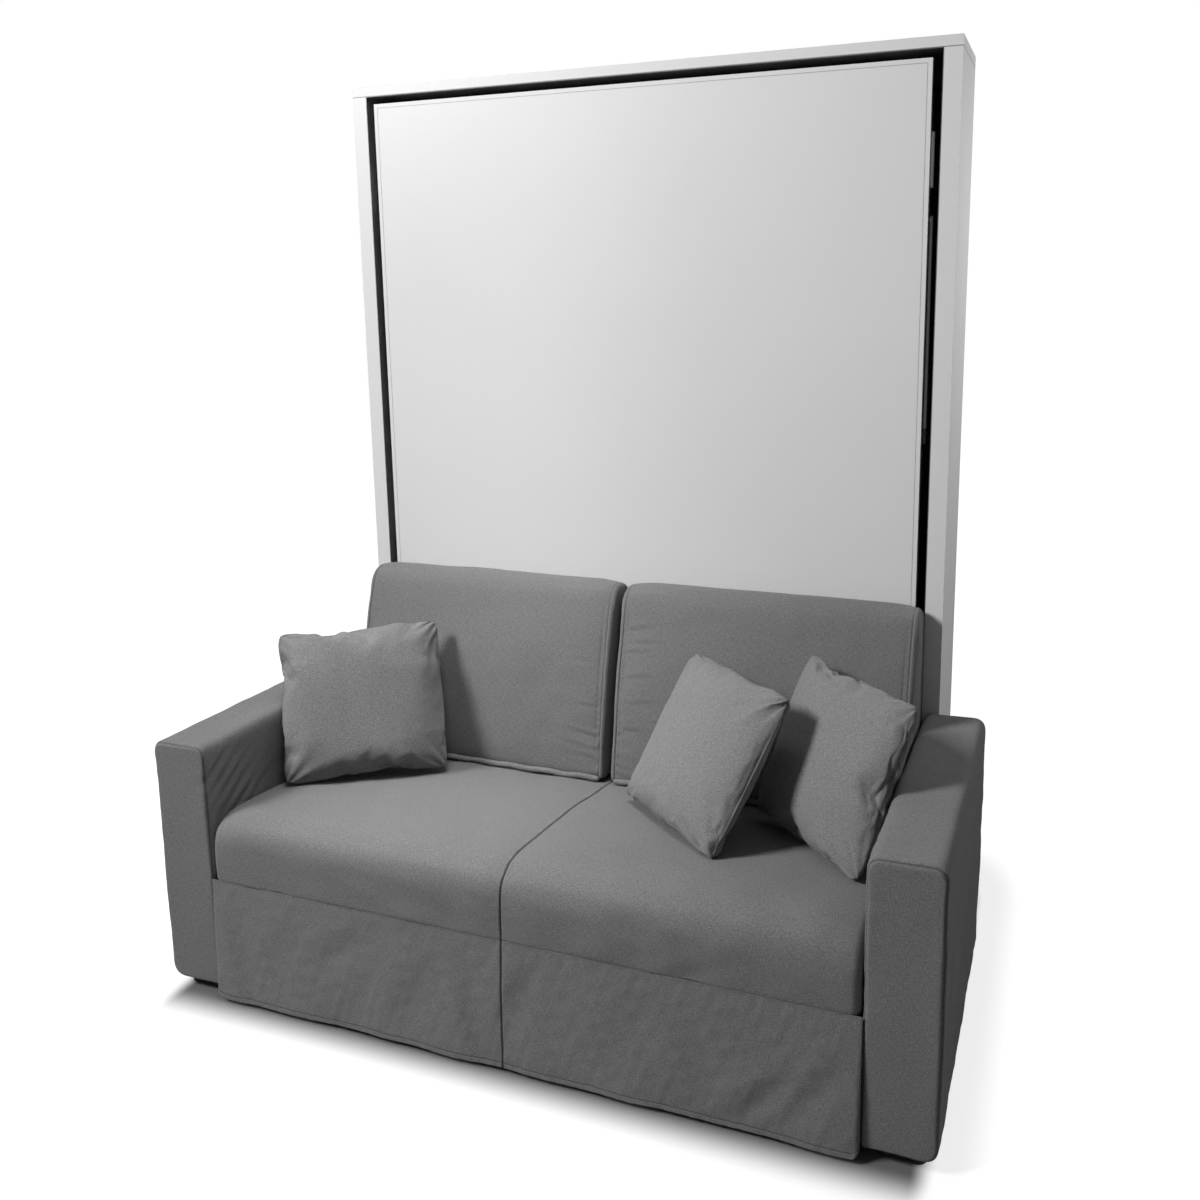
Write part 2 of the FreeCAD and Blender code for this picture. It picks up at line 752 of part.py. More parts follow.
# Upholstery
def seat_height(reach):
    """The height of the seat's top, on the arc from its rear edge over its rise to its crown."""
    rise_reach = seat_rear + seat_rise_shares[0] * (seat_crown_reach - seat_rear)
    rise_height = seat_rear_height + seat_rise_shares[1] * (seat_crown_height - seat_rear_height)
    top = Part.Circle(FreeCAD.Vector(0, seat_rear, seat_rear_height),
                      FreeCAD.Vector(0, rise_reach, rise_height),
                      FreeCAD.Vector(0, seat_crown_reach, seat_crown_height))
    return top.Center.z + math.sqrt(top.Radius ** 2 - (reach - top.Center.y) ** 2)


def seat_section(x, drop, draw):
    """The seat's outline across its depth: drop lowers its top, draw pulls its nose back."""
    rear_y = front_y - seat_rear
    nose_y = front_y - seat_reach + draw
    seam_y = front_y - seat_reach + draw * seat_seam_draw_share
    lap_y = seam_y + skirt_thickness + skirt_back_gap
    crown_y = front_y - seat_crown_reach
    crown_z = seat_crown_height - drop
    rear_z = seat_rear_height - drop
    floor_z = seat_frame_bottom + seat_frame_height + webbing_thickness + deck_thickness
    nose_z = seat_nose_height - drop * seat_nose_drop_share
    rise_y = rear_y + seat_rise_shares[0] * (crown_y - rear_y)
    rise_z = rear_z + seat_rise_shares[1] * (crown_z - rear_z)
    bend_y = crown_y + seat_nose_shares[0] * (nose_y - crown_y)
    bend_z = nose_z + seat_nose_shares[1] * (crown_z - nose_z)
    points = [FreeCAD.Vector(x, y, z) for y, z in (
        (rear_y, floor_z), (rear_y, rear_z), (rise_y, rise_z), (crown_y, crown_z), (bend_y, bend_z),
        (nose_y, nose_z), (seam_y, seat_seam_height), (lap_y, seat_seam_height), (lap_y, floor_z))]
    edges = [line(points[0], points[1]), arc(points[1], points[2], points[3]),
             arc(points[3], points[4], points[5]), line(points[5], points[6]),
             line(points[6], points[7]), line(points[7], points[8]), line(points[8], points[0])]
    return Part.Wire(edges)


def make_seat():
    """Two halves that dip towards the seam in the middle and round over at the ends."""
    end = clear_half - seat_side_gap
    seam = [seat_section(share * seat_seam_width, drop * seat_seam_dip, drop * seat_seam_dip)
            for share, drop in round_shares]
    outer = [seat_section(end - share * seat_end_width, drop * seat_end_drop, drop * seat_end_draw)
             for share, drop in reversed(round_shares)]
    half = Part.makeLoft(seam + outer, True, True)
    save("seat_cushion", half.fuse(mirrored(half)).removeSplitter())


def cushion_section(x, drop, draw):
    """The wedge's outline: drop lowers its top, draw pulls its face and its back together."""
    rear_y = front_y - cushion_rear_gap - draw * cushion_rear_draw_share
    low_y = front_y - cushion_front_low + draw
    high_y = front_y - cushion_front_high + draw * cushion_face_draw_share
    heel_z = seat_rear_height + cushion_seat_gap
    foot_z = seat_height(cushion_front_low - draw) + cushion_seat_gap
    face_y = (low_y + high_y) / 2 - cushion_belly + draw * cushion_face_draw_share
    face_z = (cushion_low_height + cushion_top_height - cushion_shoulder_drop) / 2
    top_z = cushion_top_height - drop
    shoulder_z = top_z - cushion_shoulder_drop
    back_z = top_z - cushion_rear_drop
    bend = cushion_low_radius
    welt = bend * cushion_welt_share
    points = [FreeCAD.Vector(x, y, z) for y, z in (
        (rear_y, heel_z), (rear_y, back_z), ((rear_y + high_y) / 2, top_z), (high_y, shoulder_z),
        (face_y, face_z), (low_y, cushion_low_height), (low_y + welt, foot_z + welt),
        (low_y + bend, foot_z), (front_y - seat_rear, heel_z))]
    edges = [line(points[0], points[1]), arc(points[1], points[2], points[3]),
             arc(points[3], points[4], points[5]), arc(points[5], points[6], points[7]),
             line(points[7], points[8]), line(points[8], points[0])]
    return Part.Wire(edges)


def make_cushion(name, x0, x1):
    """A crowned wedge whose ends round over on both sides."""
    left = [(x0 + share * cushion_end_width, drop) for share, drop in round_shares]
    right = [(x1 - share * cushion_end_width, drop) for share, drop in reversed(round_shares)]
    wires = [cushion_section(x, drop * cushion_end_drop, drop * cushion_end_draw)
             for x, drop in left + right]
    save(name, Part.makeLoft(wires, True, True))


def make_back_cushions():
    end = clear_half - cushion_side_gap
    gap_left = -cushion_gap_offset - cushion_gap / 2
    gap_right = gap_left + cushion_gap
    make_cushion("back_cushion_left", -end, gap_left)
    make_cushion("back_cushion_right", gap_right, end)


def pillow_outline(offset, size, corner):
    """Four drawn-in sides joined by round corners, offset along the thickness."""
    half_width = size * pillow_width / 2
    half_height = size * pillow_height / 2
    bend = corner * half_height
    near = corner_bend_share * bend
    pinch = size * pillow_pinch
    edges = []
    turns = ((1, -1), (1, 1), (-1, 1), (-1, -1))
    sides = ((half_width - pinch, 0), (0, half_height - pinch),
             (pinch - half_width, 0), (0, pinch - half_height))
    for index, (sx, sz) in enumerate(turns):
        low = FreeCAD.Vector(sx * (half_width - bend), offset, sz * half_height)
        middle = FreeCAD.Vector(sx * (half_width - near), offset, sz * (half_height - near))
        high = FreeCAD.Vector(sx * half_width, offset, sz * (half_height - bend))
        first, last = (low, high) if sx * sz < 0 else (high, low)
        next_x, next_z = turns[(index + 1) % 4]
        if sx * sz < 0:
            goal = FreeCAD.Vector(next_x * half_width, offset, next_z * (half_height - bend))
        else:
            goal = FreeCAD.Vector(next_x * (half_width - bend), offset, next_z * half_height)
        side = FreeCAD.Vector(sides[index][0], offset, sides[index][1])
        edges.append(arc(first, middle, last))
        edges.append(arc(last, side, goal))
    return Part.Wire(edges)


def contact_reach(reach, turn, lean, share):
    """How far in front of the cabinet a pillow's lower edge is level with the seat."""
    down = pillow_height / 2 * math.sin(math.radians(lean)) * math.cos(math.radians(turn))
    across = pillow_width / 2 * abs(math.sin(math.radians(turn)))
    return reach + share * (down + across)


def make_pillow(name, side, reach, turn, lean, roll, share):
    """One pillow, turned, leaned back and lowered onto the seat."""
    shares = [(-depth, size, corner) for depth, size, corner in reversed(pillow_section_shares[1:])]
    shares += list(pillow_section_shares)
    wires = [pillow_outline(depth * pillow_thickness / 2, size, corner)
             for depth, size, corner in shares]
    pillow = Part.makeLoft(wires, True, False)
    centre = FreeCAD.Vector(0, 0, 0)
    pillow.rotate(centre, FreeCAD.Vector(0, 1, 0), -roll)
    pillow.rotate(centre, FreeCAD.Vector(1, 0, 0), -lean)
    pillow.rotate(centre, FreeCAD.Vector(0, 0, 1), turn)
    lowest = pillow.optimalBoundingBox(False, False).ZMin
    height = seat_height(contact_reach(reach, turn, lean, share)) + pillow_seat_gap - lowest
    pillow.translate(FreeCAD.Vector(side, front_y - reach, height))
    save(name, pillow)


def make_pillows():
    make_pillow("pillow_left", pillow_left_side, pillow_left_reach, pillow_left_turn,
                pillow_left_lean, pillow_left_roll, pillow_contact_shares[0])
    make_pillow("pillow_middle", pillow_middle_side, pillow_middle_reach, pillow_middle_turn,
                pillow_middle_lean, pillow_middle_roll, pillow_contact_shares[1])
    make_pillow("pillow_right", pillow_right_side, pillow_right_reach, pillow_right_turn,
                pillow_right_lean, pillow_right_roll, pillow_contact_shares[2])


def skirt_wire(z, y, depth):
    """A thin closed outline at one height, waved by depth, as arcs of equal width."""
    half = clear_half - skirt_side_gap
    count = 4 * skirt_folds_per_half
    step = 2 * half / count
    front = []
    back = []
    for index in range(count):
        x0 = -half + index * step
        side = 1 if index % 2 else -1
        front.append((x0, side))
    edges = []
    for x0, side in front:
        bulge = side * depth / 2
        edges.append(arc(FreeCAD.Vector(x0, y, z), FreeCAD.Vector(x0 + step / 2, y + bulge, z),
                         FreeCAD.Vector(x0 + step, y, z)))
    for x0, side in reversed(front):
        bulge = side * depth / 2
        back.append(arc(FreeCAD.Vector(x0 + step, y + skirt_thickness, z),
                        FreeCAD.Vector(x0 + step / 2, y + skirt_thickness + bulge, z),
                        FreeCAD.Vector(x0, y + skirt_thickness, z)))
    first = line(FreeCAD.Vector(-half, y + skirt_thickness, z), FreeCAD.Vector(-half, y, z))
    last = line(FreeCAD.Vector(half, y, z), FreeCAD.Vector(half, y + skirt_thickness, z))
    return Part.Wire([first] + edges + [last] + back)


def make_skirt():
    top_y = front_y - seat_reach
    hem_y = top_y - skirt_flare
    top = skirt_wire(seat_seam_height, top_y, skirt_fold_depth * skirt_top_fold_share)
    hem = skirt_wire(skirt_hem_height, hem_y, skirt_fold_depth)
    save("skirt", Part.makeLoft([hem, top], True, True))


make_cabinet()
make_arm_bracket()
make_lift_arm()
make_pivot_plate()
make_track()
make_roller()
make_spring()
make_panel()
make_bed_frame()
make_slats()
make_mattress()
make_legs()
make_guide_bars()
make_arms()
make_seat_frame()
make_brackets()
make_seat()
make_back_cushions()
make_pillows()
make_skirt()
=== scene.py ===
"""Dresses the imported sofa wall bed: cloth sofa, laminate cabinet, quilted mattress, steel linkage."""

import json
import math

import bmesh
import bpy
import numpy as np
from bpy.props import FloatProperty, FloatVectorProperty, IntProperty, PointerProperty
from mathutils import Matrix, Vector


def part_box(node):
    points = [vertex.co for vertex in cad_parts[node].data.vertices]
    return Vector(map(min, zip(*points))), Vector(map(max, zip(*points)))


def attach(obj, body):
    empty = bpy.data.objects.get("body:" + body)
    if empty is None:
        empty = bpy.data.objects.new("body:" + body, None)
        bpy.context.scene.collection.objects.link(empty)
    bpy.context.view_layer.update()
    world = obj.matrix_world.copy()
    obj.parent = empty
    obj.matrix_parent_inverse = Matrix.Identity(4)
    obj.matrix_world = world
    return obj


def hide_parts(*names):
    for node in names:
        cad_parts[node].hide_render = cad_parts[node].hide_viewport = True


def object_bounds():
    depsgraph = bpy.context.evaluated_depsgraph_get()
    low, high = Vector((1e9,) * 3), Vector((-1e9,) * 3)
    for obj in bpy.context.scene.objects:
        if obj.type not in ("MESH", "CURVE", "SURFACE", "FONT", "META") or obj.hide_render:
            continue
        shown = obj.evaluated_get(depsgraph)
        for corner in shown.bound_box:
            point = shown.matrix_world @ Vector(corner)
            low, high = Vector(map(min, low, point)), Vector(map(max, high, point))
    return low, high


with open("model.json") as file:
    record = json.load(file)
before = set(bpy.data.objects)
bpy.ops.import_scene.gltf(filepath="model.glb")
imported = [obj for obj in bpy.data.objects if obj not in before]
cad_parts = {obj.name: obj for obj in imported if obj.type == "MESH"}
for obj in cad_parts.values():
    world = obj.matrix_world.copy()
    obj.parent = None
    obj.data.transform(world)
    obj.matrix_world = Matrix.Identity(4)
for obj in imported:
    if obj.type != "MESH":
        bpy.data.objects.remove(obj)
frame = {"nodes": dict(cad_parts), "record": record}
cad_low, cad_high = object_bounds()

bl_info = {
    "name": "Sofa wall bed",
    "version": (1, 0, 0),
    "blender": (4, 5, 0),
    "location": "3D View > Sidebar > Sofa wall bed",
    "description": "Soft pieces, finishes and studio for a sofa wall bed",
    "category": "Add Mesh",
}

ROOT = "cabinet_and_sofa"
WEAVE_MAP = "weave"
# Name of each point's share of painted shade, in seams and grooves and under overhangs
SEAM_SHADE = "seam"
CLOTH_SLOT = "upholstery_grey"
MERGE = 2e-6
# A pillow after its simulation: how far its edges are drawn straight, how deep the pleats round its
# corners are, and how far and within what distance the corners are drawn in and filled out
EDGE_STRAIGHTENING = 0.60
PLEAT_DEPTH = 0.0065
CORNER_DRAW = 0.011
CORNER_REACH = 0.105
CORNER_FILL = 0.008
# Share of the white surroundings that shiny pieces mirror
MIRRORED_WHITE = 0.35


# Settings that a user would change

class ClothSettings(bpy.types.PropertyGroup):
    """Colours and sewing of the sofa's cloth."""

    colour: FloatVectorProperty(
        name="Cloth", description="Base colour of the sofa's cloth", subtype="COLOR",
        size=3, min=0, max=1, default=(0.175, 0.176, 0.179))
    pillow_colour: FloatVectorProperty(
        name="Pillow cloth", description="Base colour of the pillows' cloth", subtype="COLOR",
        size=3, min=0, max=1, default=(0.205, 0.206, 0.209))
    thread: FloatProperty(
        name="Thread", description="Width of one thread of the weave", unit="LENGTH",
        default=0.0011, min=0.0003, max=0.01, precision=5)
    seam_depth: FloatProperty(
        name="Seam depth", description="How deep a sewn seam sits in the cloth", unit="LENGTH",
        default=0.0042, min=0, max=0.02, precision=4)
    seam_width: FloatProperty(
        name="Seam width", description="Half width of a sewn seam's valley", unit="LENGTH",
        default=0.0021, min=0.0005, max=0.02, precision=4)
    welt_radius: FloatProperty(
        name="Welt radius", description="Radius of the rolled welt under a back cushion", unit="LENGTH",
        default=0.0076, min=0.002, max=0.02, precision=4)


class PillowSettings(bpy.types.PropertyGroup):
    """Sizes of the loose pillows and of their simulation."""

    width: FloatProperty(
        name="Width", description="Width between a pillow's corners", unit="LENGTH", default=0.430, min=0.1)
    height: FloatProperty(
        name="Height", description="Height between a pillow's corners", unit="LENGTH", default=0.402, min=0.1)
    thickness: FloatProperty(
        name="Thickness", description="Thickness in a pillow's middle", unit="LENGTH",
        default=0.136, min=0.02)
    cells: IntProperty(
        name="Cells", description="Cells along a side of a pillow's sheet", default=66, min=16, max=120)
    steps: IntProperty(
        name="Steps", description="Steps of the cloth simulation", default=26, min=5, max=60)


class SkirtSettings(bpy.types.PropertyGroup):
    """Sizes of the skirt in front of the seat."""

    half_width: FloatProperty(
        name="Half width", description="From the middle to the skirt's side", unit="LENGTH",
        default=0.7932)
    corner: FloatProperty(
        name="Corner", description="Radius of the turn at the skirt's sides", unit="LENGTH", default=0.010)
    hem_height: FloatProperty(
        name="Hem height", description="Height of the hem over the floor", unit="LENGTH", default=0.0125)
    hem_band: FloatProperty(
        name="Hem band", description="Height of the turned-up hem", unit="LENGTH", default=0.0115)
    flare: FloatProperty(
        name="Flare", description="How far the hem stands in front of the seat", unit="LENGTH",
        default=0.0165)
    cloth: FloatProperty(
        name="Thickness", description="Thickness of the cloth", unit="LENGTH", default=0.0014, precision=4)


class ShellColours(bpy.types.PropertyGroup):
    """Colours of the hard pieces."""

    laminate: FloatVectorProperty(
        name="Laminate", description="Colour of the cabinet's boards", subtype="COLOR",
        size=3, min=0, max=1, default=(0.73, 0.73, 0.727))
    reveal: FloatVectorProperty(
        name="Reveal", description="Colour of the dark lining", subtype="COLOR",
        size=3, min=0, max=1, default=(0.12, 0.12, 0.122))
    paint: FloatVectorProperty(
        name="Paint", description="Colour of the painted steel", subtype="COLOR",
        size=3, min=0, max=1, default=(0.46, 0.47, 0.48))
    steel: FloatVectorProperty(
        name="Steel", description="Colour of the bare steel", subtype="COLOR",
        size=3, min=0, max=1, default=(0.52, 0.52, 0.53))
    slat: FloatVectorProperty(
        name="Slats", description="Colour of the bed's slats", subtype="COLOR",
        size=3, min=0, max=1, default=(0.56, 0.40, 0.23))
    timber: FloatVectorProperty(
        name="Timber", description="Colour of the sofa's frames", subtype="COLOR",
        size=3, min=0, max=1, default=(0.42, 0.28, 0.15))


class StudioSettings(bpy.types.PropertyGroup):
    """The camera and the lamps."""

    place: FloatVectorProperty(
        name="Camera", description="Where the camera stands", subtype="XYZ", unit="LENGTH",
        size=3, default=(1.1284, -2.5553, 1.6994))
    turn: FloatProperty(
        name="Turn", description="Camera's turn to the left", subtype="ANGLE", default=math.radians(21.137))
    tilt: FloatProperty(
        name="Tilt", description="Camera's tilt upwards", subtype="ANGLE", default=math.radians(-10.404))
    roll: FloatProperty(
        name="Roll", description="Camera's roll", subtype="ANGLE", default=math.radians(-0.685))
    focal: FloatProperty(
        name="Focal length", description="Focal length as a share of the frame's width", default=0.94700)
    middle: FloatVectorProperty(
        name="Middle", description="Where the lens axis meets the frame, as shares of it",
        size=2, default=(0.537450, 0.422158))
    seat: FloatProperty(
        name="Seat lamp", description="Power of the narrow lamp over the seat", default=3.2, min=0)
    key: FloatProperty(
        name="Key lamp", description="Power of the lamp at the left in front", default=132.0, min=0)
    side: FloatProperty(
        name="Side lamp", description="Power of the lamp at the right", default=4.6, min=0)
    air: FloatProperty(
        name="Air", description="Strength of the light all round", default=0.135, min=0)
    fade: FloatProperty(
        name="Fade", description="How far from the sofa the lit floor has turned white", unit="LENGTH",
        default=0.12)
    glow: FloatProperty(
        name="Glow", description="Share of white that the near floor gives off", default=0.79)


# Curves and surfaces worked out as whole arrays

def node_box(*names):
    """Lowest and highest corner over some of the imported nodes."""
    boxes = [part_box(name) for name in names]
    low = np.min([np.array(box[0]) for box in boxes], axis=0)
    high = np.max([np.array(box[1]) for box in boxes], axis=0)
    return low, high


def spread(points, count):
    """The same line with count points, evenly spaced by length."""
    points = np.asarray(points, float)
    steps = np.linalg.norm(np.diff(points, axis=0), axis=1)
    length = np.concatenate([[0.0], np.cumsum(steps)])
    at = np.linspace(0.0, length[-1], count)
    return np.stack([np.interp(at, length, points[:, k]) for k in range(points.shape[1])], axis=1)


def smooth_line(points, count):
    """A smooth line through points: between two of them a cubic whose slopes come from their neighbours."""
    points = np.asarray(points, float)
    p = np.vstack([2 * points[0] - points[1], points, 2 * points[-1] - points[-2]])
    a, b, c, d = (p[k:len(p) - 3 + k][:, None, :] for k in range(4))
    t = np.linspace(0.0, 1.0, 24, endpoint=False)[None, :, None]
    second = 2 * a - 5 * b + 4 * c - d
    third = 3 * b - a - 3 * c + d
    run = 0.5 * (2 * b + (c - a) * t + second * t ** 2 + third * t ** 3)
    run = np.vstack([run.reshape(-1, points.shape[1]), points[-1:]])
    return spread(run, count)


def rounded_outline(corners, radii, count):
    """A closed outline: each corner is a parabola between two points at its radius along both sides."""
    corners = np.asarray(corners, float)
    radii = np.asarray(radii, float)[:, None]
    back = np.roll(corners, 1, axis=0) - corners
    ahead = np.roll(corners, -1, axis=0) - corners
    start = corners + back / np.linalg.norm(back, axis=1, keepdims=True) * radii
    end = corners + ahead / np.linalg.norm(ahead, axis=1, keepdims=True) * radii
    t = np.linspace(0.0, 1.0, 12)[None, :, None]
    run = (1 - t) ** 2 * start[:, None] + 2 * t * (1 - t) * corners[:, None] + t ** 2 * end[:, None]
    run = run.reshape(-1, 2)
    return spread(np.vstack([run, run[:1]]), count + 1)[:-1]


def rounded_box(low, high, radii, count):
    """The rounded outline of a rectangle between two corners."""
    return rounded_outline([low, (low[0], high[1]), high, (high[0], low[1])], radii, count)


def ripple(points, length, seed, waves=9):
    """Smooth unevenness from -1 to 1: a sum of sine waves that run in seeded directions."""
    rng = np.random.default_rng(seed)
    ways = rng.normal(size=(waves, points.shape[-1]))
    ways /= np.linalg.norm(ways, axis=1, keepdims=True)
    pace = 2 * np.pi / (length * rng.uniform(0.6, 1.6, waves))
    shift = rng.uniform(0, 2 * np.pi, waves)
    total = np.sin((points @ ways.T) * pace + shift).sum(axis=-1)
    return total / math.sqrt(waves)


def unevenness(points, table, seed=0):
    """Ripples added up: each row of table is a ripple's depth, its length and what its seed adds."""
    return sum(deep * ripple(points, length, seed + more) for deep, length, more in table)


def even_waves(x, table):
    """Even waves added up: each row of table is a wave's depth, length and shift."""
    return sum(deep * np.sin(2 * np.pi * x / length + shift) for deep, length, shift in table)


def creases(a, b, table):
    """Soft folds: each row of table is a fold's middle, angle, half length, half width and depth.
    A fold is a valley with a lower ridge beside it, and fades along its length as a bell curve does."""
    total = np.zeros_like(a)
    for row_a, row_b, angle, long, wide, deep in table:
        along = (a - row_a) * math.cos(angle) + (b - row_b) * math.sin(angle)
        across = (b - row_b) * math.cos(angle) - (a - row_a) * math.sin(angle)
        ridge = 0.65 * valley(across - 1.7 * wide, 1.1 * wide)
        total += deep * valley(along, long) * (ridge - valley(across, wide))
    return total


def valley(distance, width):
    """The bell curve of a seam's valley, 1 in its middle."""
    return np.exp(-(distance / width) ** 2)


def level(values, start, length):
    """0 up to the start, 1 from a length past it on, and straight between the two."""
    return np.clip((values - start) / length, 0, 1)


def lines_at(low, high, count, *finer):
    """Places of the rows of a surface: evenly spaced, with finer ones where they are wanted."""
    return np.unique(np.concatenate([np.linspace(low, high, count), *finer]))


def soft_block(outline, spine, low, high, radius, places, order, cap_rows=6, crown=0.0):
    """A closed block along one axis. Its middle rows are the outline. At both ends the outline is
    drawn in towards the spine's segment along a quarter circle, and a flat or crowned cap closes it.
    The result is the grid with place, a and b put into X, Y and Z in the given order, its normals and
    each row's share of the way across its cap."""
    phi = np.linspace(0.0, np.pi / 2, 8)
    shrink = np.linspace(0.0, 1.0, cap_rows + 1)[1:]
    inset = np.concatenate([radius * (1 - np.sin(phi)), -crown * np.sin(shrink * np.pi / 2)])
    draw = np.concatenate([radius * (1 - np.cos(phi)), np.full(cap_rows, radius)])
    part = np.concatenate([np.zeros(len(phi)), shrink])
    keep = places[(places > low + radius * 1.02) & (places < high - radius * 1.02)]
    zero = np.zeros(len(keep))
    place = np.concatenate([(low + inset)[::-1], keep, high - inset])
    draw = np.concatenate([draw[::-1], zero, draw])
    part = np.concatenate([part[::-1], zero, part])
    a, b = (np.asarray(point, float) for point in spine)
    way = b - a
    share = np.clip(((outline - a) @ way) / max(way @ way, 1e-12), 0, 1)[:, None]
    foot = a + share * way
    arm = outline - foot
    reach = np.linalg.norm(arm, axis=1)
    scale = np.clip((reach[None] - draw[:, None]) / reach[None], 0, 1) * (1 - part[:, None])
    flat = foot[None] + arm[None] * scale[..., None]
    rows = np.broadcast_to(place[:, None, None], flat.shape[:2] + (1,))
    points = np.concatenate([rows, flat], axis=2)
    grid = np.stack([points[..., order.index(axis)] for axis in "xyz"], axis=2)
    return grid, grid_normals(grid, True), part


def grid_normals(grid, around):
    """Unit normals of a grid of points, from the cross product of its two directions, facing outwards."""
    du = np.gradient(grid, axis=0)
    if around:
        dv = np.roll(grid, -1, axis=1) - np.roll(grid, 1, axis=1)
    else:
        dv = np.gradient(grid, axis=1)
    normal = np.cross(du, dv)
    size = np.linalg.norm(normal, axis=2, keepdims=True)
    normal = normal / np.maximum(size, 1e-12)
    if around and np.mean(np.sum(normal * (grid - grid.mean(axis=(0, 1))), axis=2)) < 0:
        normal = -normal
    return normal


def run_lengths(grid, around):
    """How far along its rows and along its columns each point of a grid lies, in metres."""
    rows = np.linalg.norm(np.diff(grid, axis=0), axis=2).max(axis=1)
    along = np.concatenate([[0.0], np.cumsum(rows)])
    closed = np.concatenate([grid, grid[:, :1]], axis=1) if around else grid
    middle = closed[len(closed) // 2]
    steps = np.linalg.norm(np.diff(middle, axis=0), axis=1)
    across = np.concatenate([[0.0], np.cumsum(steps)])
    return np.stack(np.broadcast_arrays(along[:, None], across[None, :]), axis=2)


def sheet_mesh(name, grid, around=False, shade_marks=None, plane=None, flat_rows=None):
    """A mesh of four-sided faces over a grid of points. Its map for the weave is the run along the
    rows and columns, or two of the coordinates, named by plane, on the flat rows of a cap."""
    rows, columns = grid.shape[:2]
    count = columns if around else columns - 1
    i, j = np.meshgrid(np.arange(rows - 1), np.arange(count), indexing="ij")
    i, j = i.ravel(), j.ravel()
    corner_rows = np.stack([i, i, i + 1, i + 1], axis=1)
    corner_columns = np.stack([j, j + 1, j + 1, j], axis=1)
    index = corner_rows * columns + corner_columns % columns
    wrap = run_lengths(grid, around)
    place = wrap[corner_rows, corner_columns]
    if plane is not None:
        on_cap = (flat_rows > 0)[corner_rows].any(axis=1)
        face_on = grid[corner_rows, corner_columns % columns][..., list(plane)]
        place = np.where(on_cap[:, None, None], face_on, place)
    mesh = bpy.data.meshes.new(name)
    mesh.vertices.add(rows * columns)
    mesh.vertices.foreach_set("co", grid.reshape(-1).astype(np.float32))
    mesh.loops.add(index.size)
    mesh.loops.foreach_set("vertex_index", index.reshape(-1).astype(np.int32))
    mesh.polygons.add(len(index))
    mesh.polygons.foreach_set("loop_start", np.arange(0, index.size, 4, dtype=np.int32))
    mesh.update(calc_edges=True)
    layer = mesh.uv_layers.new(name=WEAVE_MAP)
    layer.data.foreach_set("uv", place.reshape(-1).astype(np.float32))
    # Each point's share of painted shade, which darkens the cloth in seams and grooves
    mark = mesh.attributes.new(SEAM_SHADE, "FLOAT", "POINT")
    values = np.zeros(rows * columns) if shade_marks is None else np.clip(shade_marks, 0, 1).reshape(-1)
    mark.data.foreach_set("value", values.astype(np.float32))
    mesh.validate()
    return mesh


def shade_smooth(mesh):
    mesh.polygons.foreach_set("use_smooth", np.ones(len(mesh.polygons), bool))
    mesh.update()
    return mesh


def tidy(mesh, merge=MERGE):
    """Merge the doubles at seams and poles, drop what has no area and turn the faces outwards."""
    work = bmesh.new()
    work.from_mesh(mesh)
    bmesh.ops.remove_doubles(work, verts=work.verts, dist=merge)
    bmesh.ops.dissolve_degenerate(work, edges=work.edges, dist=merge)
    bmesh.ops.recalc_face_normals(work, faces=work.faces)
    work.to_mesh(mesh)
    work.free()
    return shade_smooth(mesh)


def joined(meshes, merge=MERGE):
    """Some meshes put together in the first of them, and tidied."""
    work = bmesh.new()
    for mesh in meshes:
        work.from_mesh(mesh)
    work.to_mesh(meshes[0])
    work.free()
    return tidy(meshes[0], merge)


def dress(piece, finish, body, nodes):
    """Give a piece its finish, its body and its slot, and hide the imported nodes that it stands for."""
    piece.data.materials.clear()
    piece.data.materials.append(finish_for(finish))
    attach(piece, body)
    if nodes:
        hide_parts(*nodes)


def add_piece(name, mesh, body, slot, nodes=()):
    """Put a finished mesh in the scene, on its body and in its slot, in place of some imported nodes."""
    piece = bpy.data.objects.new(name, mesh)
    bpy.context.scene.collection.objects.link(piece)
    dress(piece, slot, body, nodes)
    return piece


def add_cover(name, grid, cap, plane, shade_marks, body, slot, nodes):
    """Put a closed cover in the scene, made from its grid."""
    mesh = tidy(sheet_mesh(name, grid, True, shade_marks, plane, cap))
    add_piece(name, mesh, body, slot, nodes)


def pushed(grid, normal, moved, cap):
    """The grid moved along its normals, less and less towards the middle of its caps."""
    return grid + normal * (moved * (1 - cap[:, None]) ** 2)[..., None]


# Cloth simulation

def settle_cloth(piece, pressure, steps, stiff, bend):
    """Blow a closed cloth up a little with gravity off, and keep what it becomes as the mesh."""
    scene = bpy.context.scene
    cloth = piece.modifiers.new("cloth", "CLOTH")
    settings = cloth.settings
    settings.quality = 6
    settings.mass = 0.25
    settings.tension_stiffness = stiff
    settings.compression_stiffness = stiff
    settings.shear_stiffness = stiff * 0.6
    settings.bending_stiffness = bend
    settings.tension_damping = 12.0
    settings.compression_damping = 12.0
    settings.shear_damping = 12.0
    settings.bending_damping = 2.0
    settings.use_pressure = True
    settings.uniform_pressure_force = pressure
    settings.effector_weights.gravity = 0.0
    cloth.point_cache.frame_start = 1
    cloth.point_cache.frame_end = steps
    for step in range(1, steps + 1):
        scene.frame_set(step)
    graph = bpy.context.evaluated_depsgraph_get()
    settled = bpy.data.meshes.new_from_object(piece.evaluated_get(graph))
    piece.modifiers.clear()
    piece.data = settled
    scene.frame_set(1)
    return settled


def mesh_points(mesh):
    points = np.zeros(len(mesh.vertices) * 3, np.float32)
    mesh.vertices.foreach_get("co", points)
    return points.reshape(-1, 3).astype(float)


def set_points(mesh, points):
    mesh.vertices.foreach_set("co", points.astype(np.float32).reshape(-1))
    mesh.update()


# Shader groups and finishes

